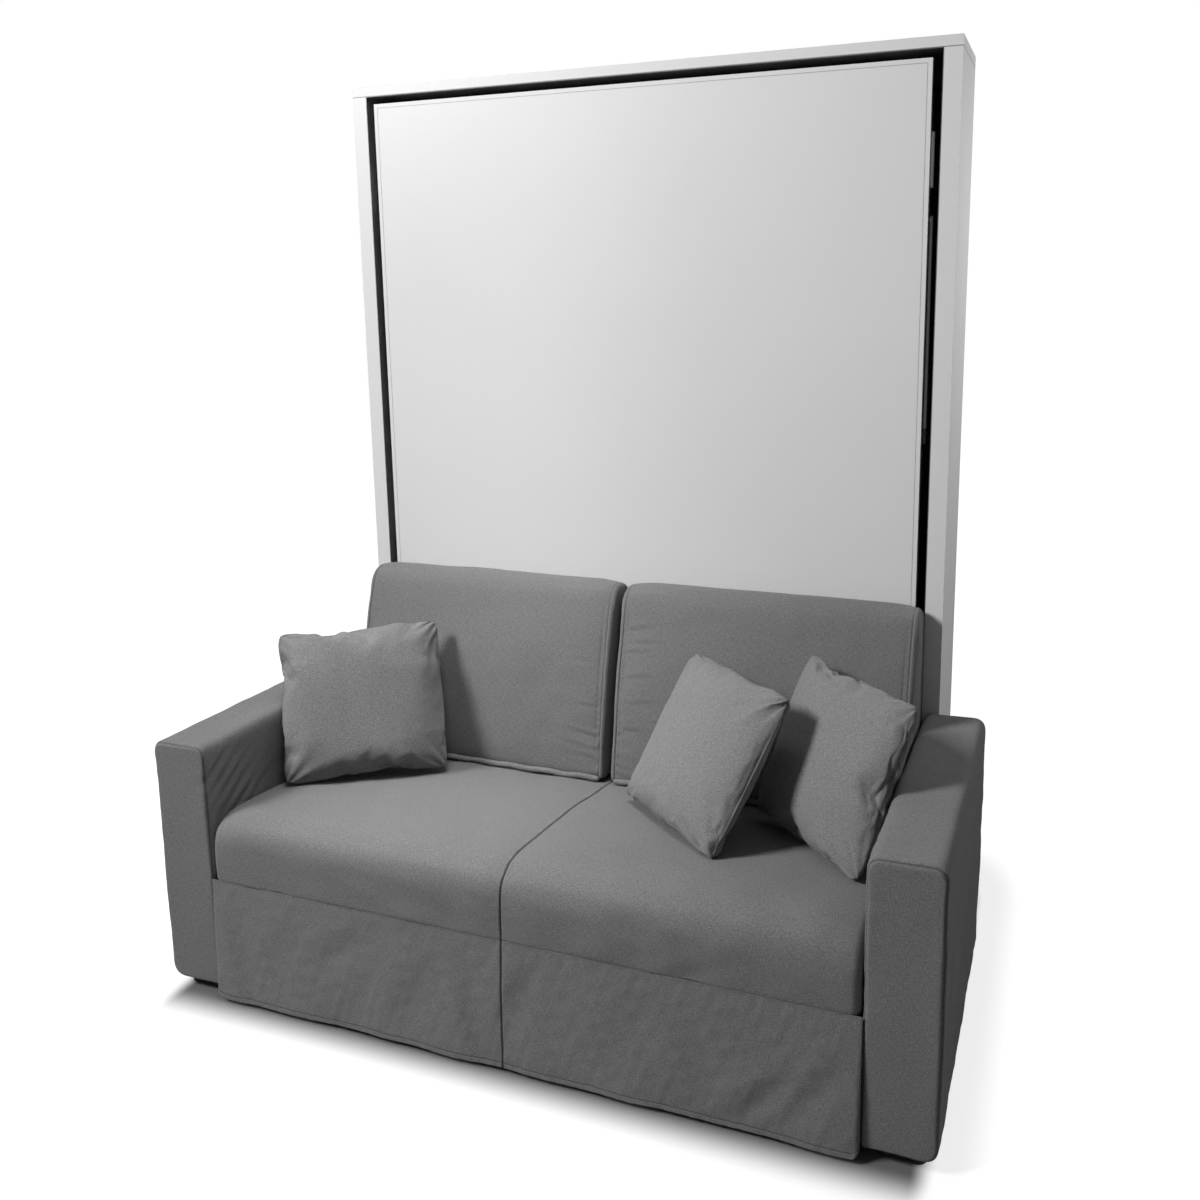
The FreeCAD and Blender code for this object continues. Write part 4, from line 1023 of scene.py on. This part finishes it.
class MakeBackCushions(bpy.types.Operator):
    """The two back cushions: wedges with a sewn edge at both ends and a rolled welt at the foot"""

    bl_idname = "sofa_wall_bed.make_back_cushions"
    bl_label = "Make back cushions"

    def execute(self, context):
        """A block along X over the outline. Roots of sines over its width and height puff out its face, a
        bell curve sews it in near both ends, and a sine over the height tucks it there and fades inwards."""
        outline = self.outline()
        for side, (seed, inward, heights) in CUSHION_SIDES.items():
            name = "back_cushion_" + side
            low, high = node_box(name)
            near_ends = [np.linspace(low[0], low[0] + 0.05, 40), np.linspace(high[0] - 0.05, high[0], 40)]
            places = lines_at(low[0], high[0], 84, *near_ends)
            grid, normal, cap = soft_block(
                outline, CUSHION_SPINE, low[0], high[0], CUSHION_END_RADIUS, places, "xyz", 6, 0.001)
            x, y, z = np.moveaxis(grid, 2, 0)
            inner = np.minimum(x - low[0], high[0] - x)
            face = level(0.262 - y, 0.0, 0.03)
            seam = valley(inner - CUSHION_SEAM, 0.0013)
            moved = -CUSHION_SEAM_DEPTH * valley(inner - CUSHION_SEAM, 0.0020)
            puff = np.sin(level(inner, 0.03, high[0] - low[0] - 0.06) * np.pi) ** 0.45
            rise = np.sin(level(z, 0.44, 0.48) * np.pi) ** 0.6
            moved += CUSHION_PUFF * puff * rise - CUSHION_SINK
            low_part = np.clip((0.80 - z) / 0.30, 0.15, 1)
            tuck = np.sin(2 * np.pi * z / TUCK_PITCH + 2.6 * ripple(grid, 0.10, seed))
            fade = np.exp(-np.clip(inner - 0.020, 0, 1) / 0.016) * level(inner, 0.017, 0.004)
            moved += TUCK_DEPTH * tuck * low_part * fade
            moved += creases(x, z, self.end_creases((low if inward > 0 else high)[0], inward, heights))
            moved += unevenness(grid, CUSHION_RIPPLES, seed)
            grid = pushed(grid, normal, moved * face, cap)
            near_end = np.clip(1 - inner / CUSHION_CORNER_REACH, 0, 1)
            grid[..., 2] -= CUSHION_CORNER_DROP * near_end ** 2 * level(z, 0.75, 0.17)
            # Painted shade in the seams near both ends
            shade_marks = 0.55 * seam ** 2 * face
            add_cover(name + "_cover", grid, cap, (1, 2), shade_marks, name, CLOTH_SLOT, [name])
            self.add_welt(name, low, high, context.scene.sofa_cloth.welt_radius, seed)
        return {"FINISHED"}

    def outline(self):
        """The cushion's front over its top to its foot, then its underside and back."""
        back = rounded_outline(CUSHION_BACK, [0.001, 0.001, 0.006, 0.006, 0.05], 90)
        back = np.roll(back, -int(np.argmin(np.linalg.norm(back - CUSHION_BACK[1], axis=1))), axis=0)
        if back[4, 1] > 0.45:
            back = back[::-1]
        middle = np.argmin(np.linalg.norm(back - CUSHION_BACK[0], axis=1))
        return np.vstack([smooth_line(CUSHION_FRONT, 150), back[2:middle]])

    def end_creases(self, end, inward, heights):
        """Short creases that run from the inner end's seam into the face, each unlike the next."""
        table = []
        for k, height in enumerate(heights):
            start = end + inward * (0.052 + 0.014 * ((5 * k) % 3))
            angle = inward * (0.06 + 0.13 * ((3 * k) % 4) / 3)
            depth = 0.0010 + 0.0004 * ((k * 2 + 1) % 3)
            table.append((start, height, angle, 0.028 + 0.009 * ((2 * k) % 3), 0.0065, depth))
        return table

    def add_welt(self, name, low, high, radius, seed):
        """A roll of cloth along the foot: a circle carried along a nearly straight path."""
        x = np.linspace(low[0] + 0.012, high[0] - 0.012, 150)
        line = x[:, None]
        y = WELT_PLACE[0] + 0.0008 * ripple(line, 0.12, seed + 20)
        z = WELT_PLACE[1] + 0.0007 * ripple(line, 0.10, seed + 21)
        turn = np.linspace(0, 2 * np.pi, 20, endpoint=False)
        close = np.clip(np.minimum(x - x[0], x[-1] - x) / radius, 0, 1)
        size = radius * np.sqrt(np.clip(1 - (1 - close) ** 2, 0, 1))
        size = (size * (1 + 0.05 * ripple(line, 0.03, seed + 22)))[:, None]
        rings = (line, y[:, None] + size * np.cos(turn), z[:, None] + size * np.sin(turn))
        mesh = tidy(sheet_mesh(name + "_welt", np.stack(np.broadcast_arrays(*rings), axis=2), True))
        add_piece(name + "_welt", mesh, name, CLOTH_SLOT)


class MakePillows(bpy.types.Operator):
    """The three pillows: two square sheets sewn at the edge and blown up as cloth"""

    bl_idname = "sofa_wall_bed.make_pillows"
    bl_label = "Make pillows"

    def execute(self, context):
        for name, (turn, lean, roll, seed) in PILLOW_PLACES.items():
            self.make_pillow(context.scene.pillow_sizes, name, turn, lean, roll, seed)
        return {"FINISHED"}

    def make_pillow(self, sizes, name, turn, lean, roll, seed):
        """Each sheet is a grid of u and v from -1 to 1 whose corners are drawn in with the sixth power
        of the other parameter, and whose bulge is the root of (1 - u u) (1 - v v)."""
        reach = np.pi / 2 * CELL_CURVE
        u = np.sin(np.linspace(-1, 1, sizes.cells + 1) * reach) / math.sin(reach)
        a, b = np.meshgrid(u, u, indexing="ij")
        rise = np.sqrt(np.clip((1 - a ** 2) * (1 - b ** 2), 0, 1))
        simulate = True
        bulge, bow = (0.34, 0.035) if simulate else (0.5, -0.02)
        x = 0.5 * sizes.width * a * (1 + bow * (1 - b ** 2) - 0.03 * b ** 6)
        z = 0.5 * sizes.height * b * (1 + bow * (1 - a ** 2) - 0.03 * a ** 6)
        wobble = 0.002 * ripple(np.stack([a, b], axis=2), 0.9, seed) * rise
        edge = valley((1 - np.maximum(np.abs(a), np.abs(b))) * sizes.width / 2, 0.0022)
        meshes = []
        for side in (-1, 1):
            y = side * (bulge * sizes.thickness * rise + wobble)
            # The last argument is painted shade along the sewn edge
            meshes.append(sheet_mesh(name, np.stack([x, y, z], axis=2), False, 0.55 * edge))
        mesh = joined(meshes, 1e-5)
        piece = bpy.data.objects.new(name + "_cover", mesh)
        bpy.context.scene.collection.objects.link(piece)
        flat = mesh_points(mesh)
        if simulate:
            mesh = settle_cloth(piece, PILLOW_PRESSURE, sizes.steps, PILLOW_STIFFNESS, PILLOW_BENDING)
        points = self.even_out(mesh_points(mesh), flat / (sizes.width / 2, 1, sizes.height / 2))
        points -= (points.min(axis=0) + points.max(axis=0)) / 2
        span = points.max(axis=0) - points.min(axis=0)
        points *= np.array([sizes.width, sizes.thickness, sizes.height]) / span
        turned = Matrix.Rotation(math.radians(turn), 3, "Z")
        turned = turned @ Matrix.Rotation(math.radians(-lean), 3, "X")
        turned = turned @ Matrix.Rotation(math.radians(-roll), 3, "Y")
        low, high = node_box(name)
        set_points(mesh, points @ np.array(turned).T + (low + high) / 2)
        shade_smooth(mesh)
        finer = piece.modifiers.new("finer", "SUBSURF")
        finer.levels = 1
        finer.render_levels = 1
        dress(piece, "pillow_grey", name, [name])

    def even_out(self, points, flat):
        """Draw the four sewn edges nearer to straight lines between the corners, and take what lies
        between them along, as a patch blended from the four edges. Then pleat the cloth round the corners:
        a wave over the angle about each corner that fades with the distance from it. The corners' tips are
        drawn in and filled out by a bell curve of that distance."""
        a, b = flat[:, 0] / np.abs(flat[:, 0]).max(), flat[:, 2] / np.abs(flat[:, 2]).max()
        edge = np.abs(flat[:, 1]) < 1e-6
        drawn = np.zeros_like(points)
        for along, across in ((a, b), (b, a)):
            for side in (-1, 1):
                on = np.nonzero(edge & (side * across > 0.90) & (np.abs(along) <= np.abs(across) + 0.02))[0]
                on = on[np.argsort(along[on])]
                first, last = on[0], on[-1]
                place = (along - along[first]) / (along[last] - along[first])
                share = place[on]
                away = points[on] - points[first] - share[:, None] * (points[last] - points[first])
                weight = (1 + side * across) / 2
                for axis in range(3):
                    drawn[:, axis] += weight * np.interp(place, share, away[:, axis])
        points = points - EDGE_STRAIGHTENING * drawn
        gap_a, gap_b = 1 - np.abs(a), 1 - np.abs(b)
        gap = np.minimum(gap_a, gap_b)
        near = np.exp(-((gap_a ** 2 + gap_b ** 2) / 0.15)) * np.clip(gap / 0.06, 0, 1)
        pleats = np.sin(15 * np.arctan2(gap_b, gap_a) + 2 * (a > 0) + (b > 0))
        blunt = valley(np.hypot(gap_a, gap_b), CORNER_REACH)
        points[:, 1] += np.sign(flat[:, 1]) * PLEAT_DEPTH * near * pleats
        points[:, 0] -= np.sign(a) * CORNER_DRAW * blunt
        points[:, 2] -= np.sign(b) * CORNER_DRAW * blunt
        points[:, 1] += np.sign(flat[:, 1]) * CORNER_FILL * blunt * np.clip(gap / 0.05, 0, 1)
        return points


class MakeArms(bpy.types.Operator):
    """The two arms: padded boxes with round edges and a front panel let in with a seam"""

    bl_idname = "sofa_wall_bed.make_arms"
    bl_label = "Make arms"

    def execute(self, context):
        """A block along Y over a rounded rectangle, worked out for the right side and mirrored for the left
        one. A bell curve is the seam round its front end, and a sine over the height crowns its sides."""
        for side, side_name, seed in ((1, "right", 41), (-1, "left", 42)):
            name = "arm_upholstery_" + side_name
            low, high = node_box(name)
            inner, outer = (low[0], high[0]) if side > 0 else (-high[0], -low[0])
            outline = rounded_box((inner, low[2]), (outer, high[2]), ARM_CORNER_RADII, 230)
            middle = (inner + outer) / 2
            spine = ((middle, low[2] + 0.085), (middle, high[2] - 0.085))
            near_ends = [np.linspace(low[1], low[1] + 0.05, 26), np.linspace(high[1] - 0.03, high[1], 8)]
            places = lines_at(low[1], high[1], 90, *near_ends)
            grid, normal, cap = soft_block(
                outline, spine, low[1], high[1], ARM_END_RADIUS, places, "yxz", 9)
            x, y, z = np.moveaxis(grid, 2, 0)
            ahead = y - low[1]
            round_end = valley(ahead - ARM_SEAM, ARM_SEAM_WIDTH)
            moved = -ARM_SEAM_DEPTH * round_end
            crown = level(ahead, 0.02, 0.10) * level(high[1] - y, 0.0, 0.05)
            moved += ARM_CROWN * crown * np.sin(level(z, low[2], high[2] - low[2]) * np.pi)
            moved += unevenness(grid, ARM_RIPPLES, seed)
            table = []
            for k in range(ARM_INNER_CREASES):
                place = low[1] + ARM_CREASE_START[0] + ARM_CREASE_STEP[0] * k
                height = ARM_CREASE_START[1] - ARM_CREASE_STEP[1] * k
                table.append((place, height, 0.62 + 0.06 * (k % 2), *ARM_CREASE_SHAPE))
            moved += creases(y, z, table) * level(middle - x, 0.0, 0.05)
            moved += creases(y, z, ARM_OUTER_CREASES) * level(x, middle, 0.05)
            grid = pushed(grid, normal, moved, cap)
            grid[..., 0] *= side
            # Painted shade in the seam round the front panel
            shade_marks = round_end ** 3
            add_cover(name + "_cover", grid, cap, (0, 2), shade_marks, ROOT, CLOTH_SLOT, [name])
        return {"FINISHED"}


class MakeMattress(bpy.types.Operator):
    """The mattress: quilted on both faces, with a sewn tape round both edges, and its two straps"""

    bl_idname = "sofa_wall_bed.make_mattress"
    bl_label = "Make mattress"

    def execute(self, context):
        """A block along X over a rounded rectangle. The quilting is as high as the root of the lesser of two
        sines across the diagonals, both without their sign, and the tapes are bell curves."""
        low, high = node_box("mattress")
        deep = high[1] - low[1]
        middle = (low[1] + high[1]) / 2
        outline = rounded_box((low[1], low[2]), (high[1], high[2]), [MATTRESS_CORNER_RADIUS] * 4, 520)
        spine = ((middle, low[2] + 0.076), (middle, high[2] - 0.076))
        places = lines_at(low[0], high[0], 186)
        grid, normal, cap = soft_block(
            outline, spine, low[0], high[0], MATTRESS_END_RADIUS, places, "xyz")
        x, y, z = np.moveaxis(grid, 2, 0)
        off = np.abs(y - middle)
        face = level(off, deep * 0.36, deep * 0.10)
        rising = np.abs(np.sin(np.pi * (x + z) / QUILT_PITCH))
        falling = np.abs(np.sin(np.pi * (x - z) / QUILT_PITCH))
        diamond = np.minimum(rising, falling)
        tape = valley(np.abs(off - deep * TAPE_PLACE), TAPE_WIDTH)
        moved = (QUILT_DEPTH * diamond ** 0.5 - QUILT_DEPTH) * face
        moved += TAPE_RISE * tape + unevenness(grid, MATTRESS_RIPPLES)
        lines = (1 - np.clip(diamond * 6, 0, 1)) * face
        grid = pushed(grid, normal, moved - 0.0008, cap)
        # Painted shade along the quilting's valleys; the tape is drawn darker too
        shade_marks = 0.25 * lines + 0.3 * tape
        add_cover("mattress_cover", grid, cap, (1, 2), shade_marks, "bed", "mattress_cover", ["mattress"])
        self.add_straps()
        return {"FINISHED"}

    def add_straps(self):
        """Each strap is a flat band carried round a rounded rectangle."""
        low, high = node_box("mattress_straps")
        foot, head = (corner[2] for corner in node_box("mattress"))
        thick, wide = 0.0016, 0.05
        loop = rounded_box(low[:2], high[:2], [0.004, 0.026, 0.026, 0.004], 420)
        inward = loop - (low[:2] + high[:2]) / 2
        inward = inward / np.linalg.norm(inward, axis=1, keepdims=True)
        inner = loop - inward * thick
        band = np.array([-0.5, -0.47, -0.2, 0.2, 0.47, 0.5]) * wide
        profile = [(0.0, rise) for rise in band] + [(1.0, rise) for rise in band[::-1]]
        meshes = []
        for share in (0.27, 0.73):
            z = foot + share * (head - foot)
            rows = [np.concatenate([loop + (inner - loop) * part, np.full((len(loop), 1), z + rise)], axis=1)
                    for part, rise in profile]
            meshes.append(sheet_mesh("mattress_strap_bands", np.stack(rows + rows[:1], axis=0), True))
        add_piece("mattress_strap_bands", joined(meshes), "bed", "strap_black", ["mattress_straps"])


class MakeWebbing(bpy.types.Operator):
    """The seat's webbing: flat woven bands from the front board to the rear one"""

    bl_idname = "sofa_wall_bed.make_webbing"
    bl_label = "Make webbing"

    def execute(self, context):
        """Each band is a flat superellipse, a circle whose sine and cosine are taken to a low power, carried
        from front to rear along a sine's slight sag and closed to a point at both ends."""
        low, high = node_box("seat_webbing")
        bands, wide, thick, square = 10, 0.06, 0.0017, 0.25
        pitch = (high[0] - low[0] - wide) / (bands - 1)
        along = np.linspace(low[1], high[1], 60)
        turn = np.linspace(0, 2 * np.pi, 24, endpoint=False)
        side = np.sign(np.cos(turn)) * np.abs(np.cos(turn)) ** square
        rise = np.sign(np.sin(turn)) * np.abs(np.sin(turn)) ** square
        y = np.concatenate([along[:1], along, along[-1:]])[:, None]
        size = np.concatenate([[0.0], np.ones(len(along)), [0.0]])[:, None]
        sag = -0.0002 * np.sin(np.linspace(0, np.pi, len(y)))[:, None]
        z = (low[2] + high[2]) / 2 + sag + thick / 2 * rise * size
        meshes = []
        for band in range(bands):
            x = low[0] + wide / 2 + pitch * band + 0.5 * wide * side * size
            grid = np.stack(np.broadcast_arrays(x, y, z), axis=2)
            meshes.append(sheet_mesh("seat_webbing_bands", grid, True))
        add_piece("seat_webbing_bands", joined(meshes), ROOT, "webbing_cloth", ["seat_webbing"])
        return {"FINISHED"}


class SetStudio(bpy.types.Operator):
    """The camera, the pale floor and the soft studio light"""

    bl_idname = "sofa_wall_bed.set_studio"
    bl_label = "Set studio"

    def execute(self, context):
        studio = context.scene.studio
        self.set_camera(context.scene, studio)
        self.set_floor(studio)
        self.set_world(context.scene, studio)
        self.add_lamp("seat_lamp", (-0.25, -0.42, 3.12), (-0.33, -0.24, 0.45), 0.6, studio.seat, 41.0)
        self.add_lamp("key_lamp", (-3.0, -3.01, 4.1), (0.72, 0.0, 1.38), 1.3, studio.key, 122.0)
        self.add_lamp("side_lamp", (2.0, 1.15, 2.3), (0.83, 0.42, 1.6), 0.7, studio.side, 90.0)
        context.scene.view_settings.view_transform = "Standard"
        return {"FINISHED"}

    def set_camera(self, scene, studio):
        """The camera's axes come from its turn, tilt and roll; its shift from where the lens axis lies."""
        turn, tilt, roll = studio.turn, studio.tilt, studio.roll
        ahead = Vector((-math.sin(turn) * math.cos(tilt), math.cos(turn) * math.cos(tilt), math.sin(tilt)))
        right = Vector((math.cos(turn), math.sin(turn), 0.0))
        up = right.cross(ahead)
        right_rolled = right * math.cos(roll) + up * math.sin(roll)
        up_rolled = up * math.cos(roll) - right * math.sin(roll)
        matrix = Matrix((right_rolled, up_rolled, -ahead)).transposed().to_4x4()
        matrix.translation = Vector(studio.place)
        data = bpy.data.cameras.new("studio_camera")
        data.sensor_fit = "HORIZONTAL"
        data.sensor_width = 36.0
        data.lens = 36.0 * studio.focal
        data.shift_x = 0.5 - studio.middle[0]
        data.shift_y = studio.middle[1] - 0.5
        data.clip_start = 0.05
        data.clip_end = 60.0
        camera = bpy.data.objects.new("studio_camera", data)
        camera.matrix_world = matrix
        scene.collection.objects.link(camera)
        scene.camera = camera

    def set_floor(self, studio):
        """A wide flat sheet. Near the object it shows the lamps' light and shadow, and painted shade too:
        there its base colour is drawn about half as bright and its glow held back, a painted contact shadow.
        With the distance from a rectangle a little inside the one that the object stands on, growing faster
        to the sides than to the front, its colour comes back up and it glows more to the camera and to
        mirrors: a little way out so much that lit floor is white and a shadow still shows, and far out fully
        white."""
        size = 14.0
        corners = [[(x, y, 0.0) for y in (-size, size)] for x in (-size, size)]
        mesh = sheet_mesh("studio_floor", np.array(corners))
        material, tree, shader, place = new_finish("studio_floor")
        half_x, half_y = ((high - low) / 2 for low, high in zip(cad_low[:2], cad_high[:2]))
        out = vector_calc(tree, "ABSOLUTE", stretched(tree, place, (1.0, 1.0, 0.0)))
        out = vector_calc(tree, "SUBTRACT", out, (half_x - 0.055, half_y - 0.02, 0.0))
        out = stretched(tree, vector_calc(tree, "MAXIMUM", out), (2.3, 1.0, 0.0))
        far = add_node(tree, "ShaderNodeVectorMath", {"operation": "LENGTH"}, at0=out).outputs["Value"]
        painted_shadow_fade = ramp(tree, far, 0.0, studio.fade, studio.glow, "SMOOTHSTEP")
        late = ramp(tree, far, 1.5 * studio.fade, 3.5 * studio.fade, 1.0 - studio.glow, "SMOOTHSTEP")
        tone = calc(tree, "MULTIPLY_ADD", noise(tree, place, 1.2), 0.02, 0.99)
        # Painted contact shadow: the base colour drops to about half near the object and is full from the
        # fade's distance on
        tone = calc(tree, "MULTIPLY", tone, calc(tree, "MULTIPLY_ADD", painted_shadow_fade, 0.65, 0.49))
        glow = calc(tree, "MULTIPLY", self.seen_share(tree), calc(tree, "ADD", painted_shadow_fade, late))
        set_inputs(tree, shader, {
            "Base Color": toned(tree, (0.32, 0.32, 0.32), tone), "Roughness": 0.9, "Specular IOR Level": 0.0,
            "Emission Color": (1.0, 1.0, 1.0, 1.0), "Emission Strength": glow})
        mesh.materials.append(material)
        floor = bpy.data.objects.new("studio_floor", mesh)
        bpy.context.scene.collection.objects.link(floor)

    def seen_share(self, tree):
        """1 for what the camera sees, straight or through glass, and a part of it for what is mirrored."""
        rays = tree.nodes.new("ShaderNodeLightPath")
        seen = calc(tree, "MAXIMUM", rays.outputs["Is Camera Ray"], rays.outputs["Is Transmission Ray"])
        mirrored = calc(tree, "MULTIPLY", rays.outputs["Is Glossy Ray"], MIRRORED_WHITE)
        return calc(tree, "MAXIMUM", seen, mirrored)

    def set_world(self, scene, studio):
        """Even light all round, which the camera and shiny pieces see as white."""
        world = bpy.data.worlds.new("studio_air")
        world.use_nodes = True
        tree = world.node_tree
        strength = calc(tree, "MULTIPLY_ADD", self.seen_share(tree), 1.0 - studio.air, studio.air)
        set_inputs(tree, tree.nodes["Background"], {"Color": (1.0, 1.0, 1.0, 1.0), "Strength": strength})
        scene.world = world

    def add_lamp(self, name, place, target, size, power, beam):
        """A square lamp that points from its place to the target, with its beam's angle in degrees."""
        data = bpy.data.lights.new(name, "AREA")
        data.shape = "SQUARE"
        data.size = size
        data.energy = power
        data.spread = math.radians(beam)
        lamp = bpy.data.objects.new(name, data)
        lamp.visible_camera = False
        way = Vector(target) - Vector(place)
        lamp.matrix_world = Matrix.Translation(place) @ way.to_track_quat("-Z", "Y").to_matrix().to_4x4()
        bpy.context.scene.collection.objects.link(lamp)


class SofaWallBedPanel(bpy.types.Panel):
    """The sidebar's list of settings and steps"""

    bl_idname = "VIEW3D_PT_sofa_wall_bed"
    bl_label = "Sofa wall bed"
    bl_space_type = "VIEW_3D"
    bl_region_type = "UI"
    bl_category = "Sofa wall bed"

    def draw(self, context):
        scene = context.scene
        for title, group in (("Cloth", scene.sofa_cloth), ("Pillows", scene.pillow_sizes),
                             ("Skirt", scene.sofa_skirt), ("Colours", scene.shell_colours),
                             ("Studio", scene.studio)):
            box = self.layout.box()
            box.label(text=title)
            for key in group.__annotations__:
                box.prop(group, key)
        for operator in OPERATORS:
            self.layout.operator(operator.bl_idname)


GROUPS = (ClothSettings, PillowSettings, SkirtSettings, ShellColours, StudioSettings)
OPERATORS = (SetStudio, PaintHardPieces, MakeArms, MakeSeat, MakeSkirt, MakeBackCushions, MakePillows,
             MakeMattress, MakeWebbing)


def register():
    for item in GROUPS + OPERATORS + (SofaWallBedPanel,):
        bpy.utils.register_class(item)
    bpy.types.Scene.sofa_cloth = PointerProperty(type=ClothSettings)
    bpy.types.Scene.pillow_sizes = PointerProperty(type=PillowSettings)
    bpy.types.Scene.sofa_skirt = PointerProperty(type=SkirtSettings)
    bpy.types.Scene.shell_colours = PointerProperty(type=ShellColours)
    bpy.types.Scene.studio = PointerProperty(type=StudioSettings)


def unregister():
    for name in ("studio", "shell_colours", "sofa_skirt", "pillow_sizes", "sofa_cloth"):
        delattr(bpy.types.Scene, name)
    for item in (SofaWallBedPanel,) + OPERATORS[::-1] + GROUPS[::-1]:
        bpy.utils.unregister_class(item)


def main():
    """Build everything in order."""
    register()
    for operator in OPERATORS:
        group, name = operator.bl_idname.split(".")
        getattr(getattr(bpy.ops, group), name)()


if __name__ == "__main__":
    main()
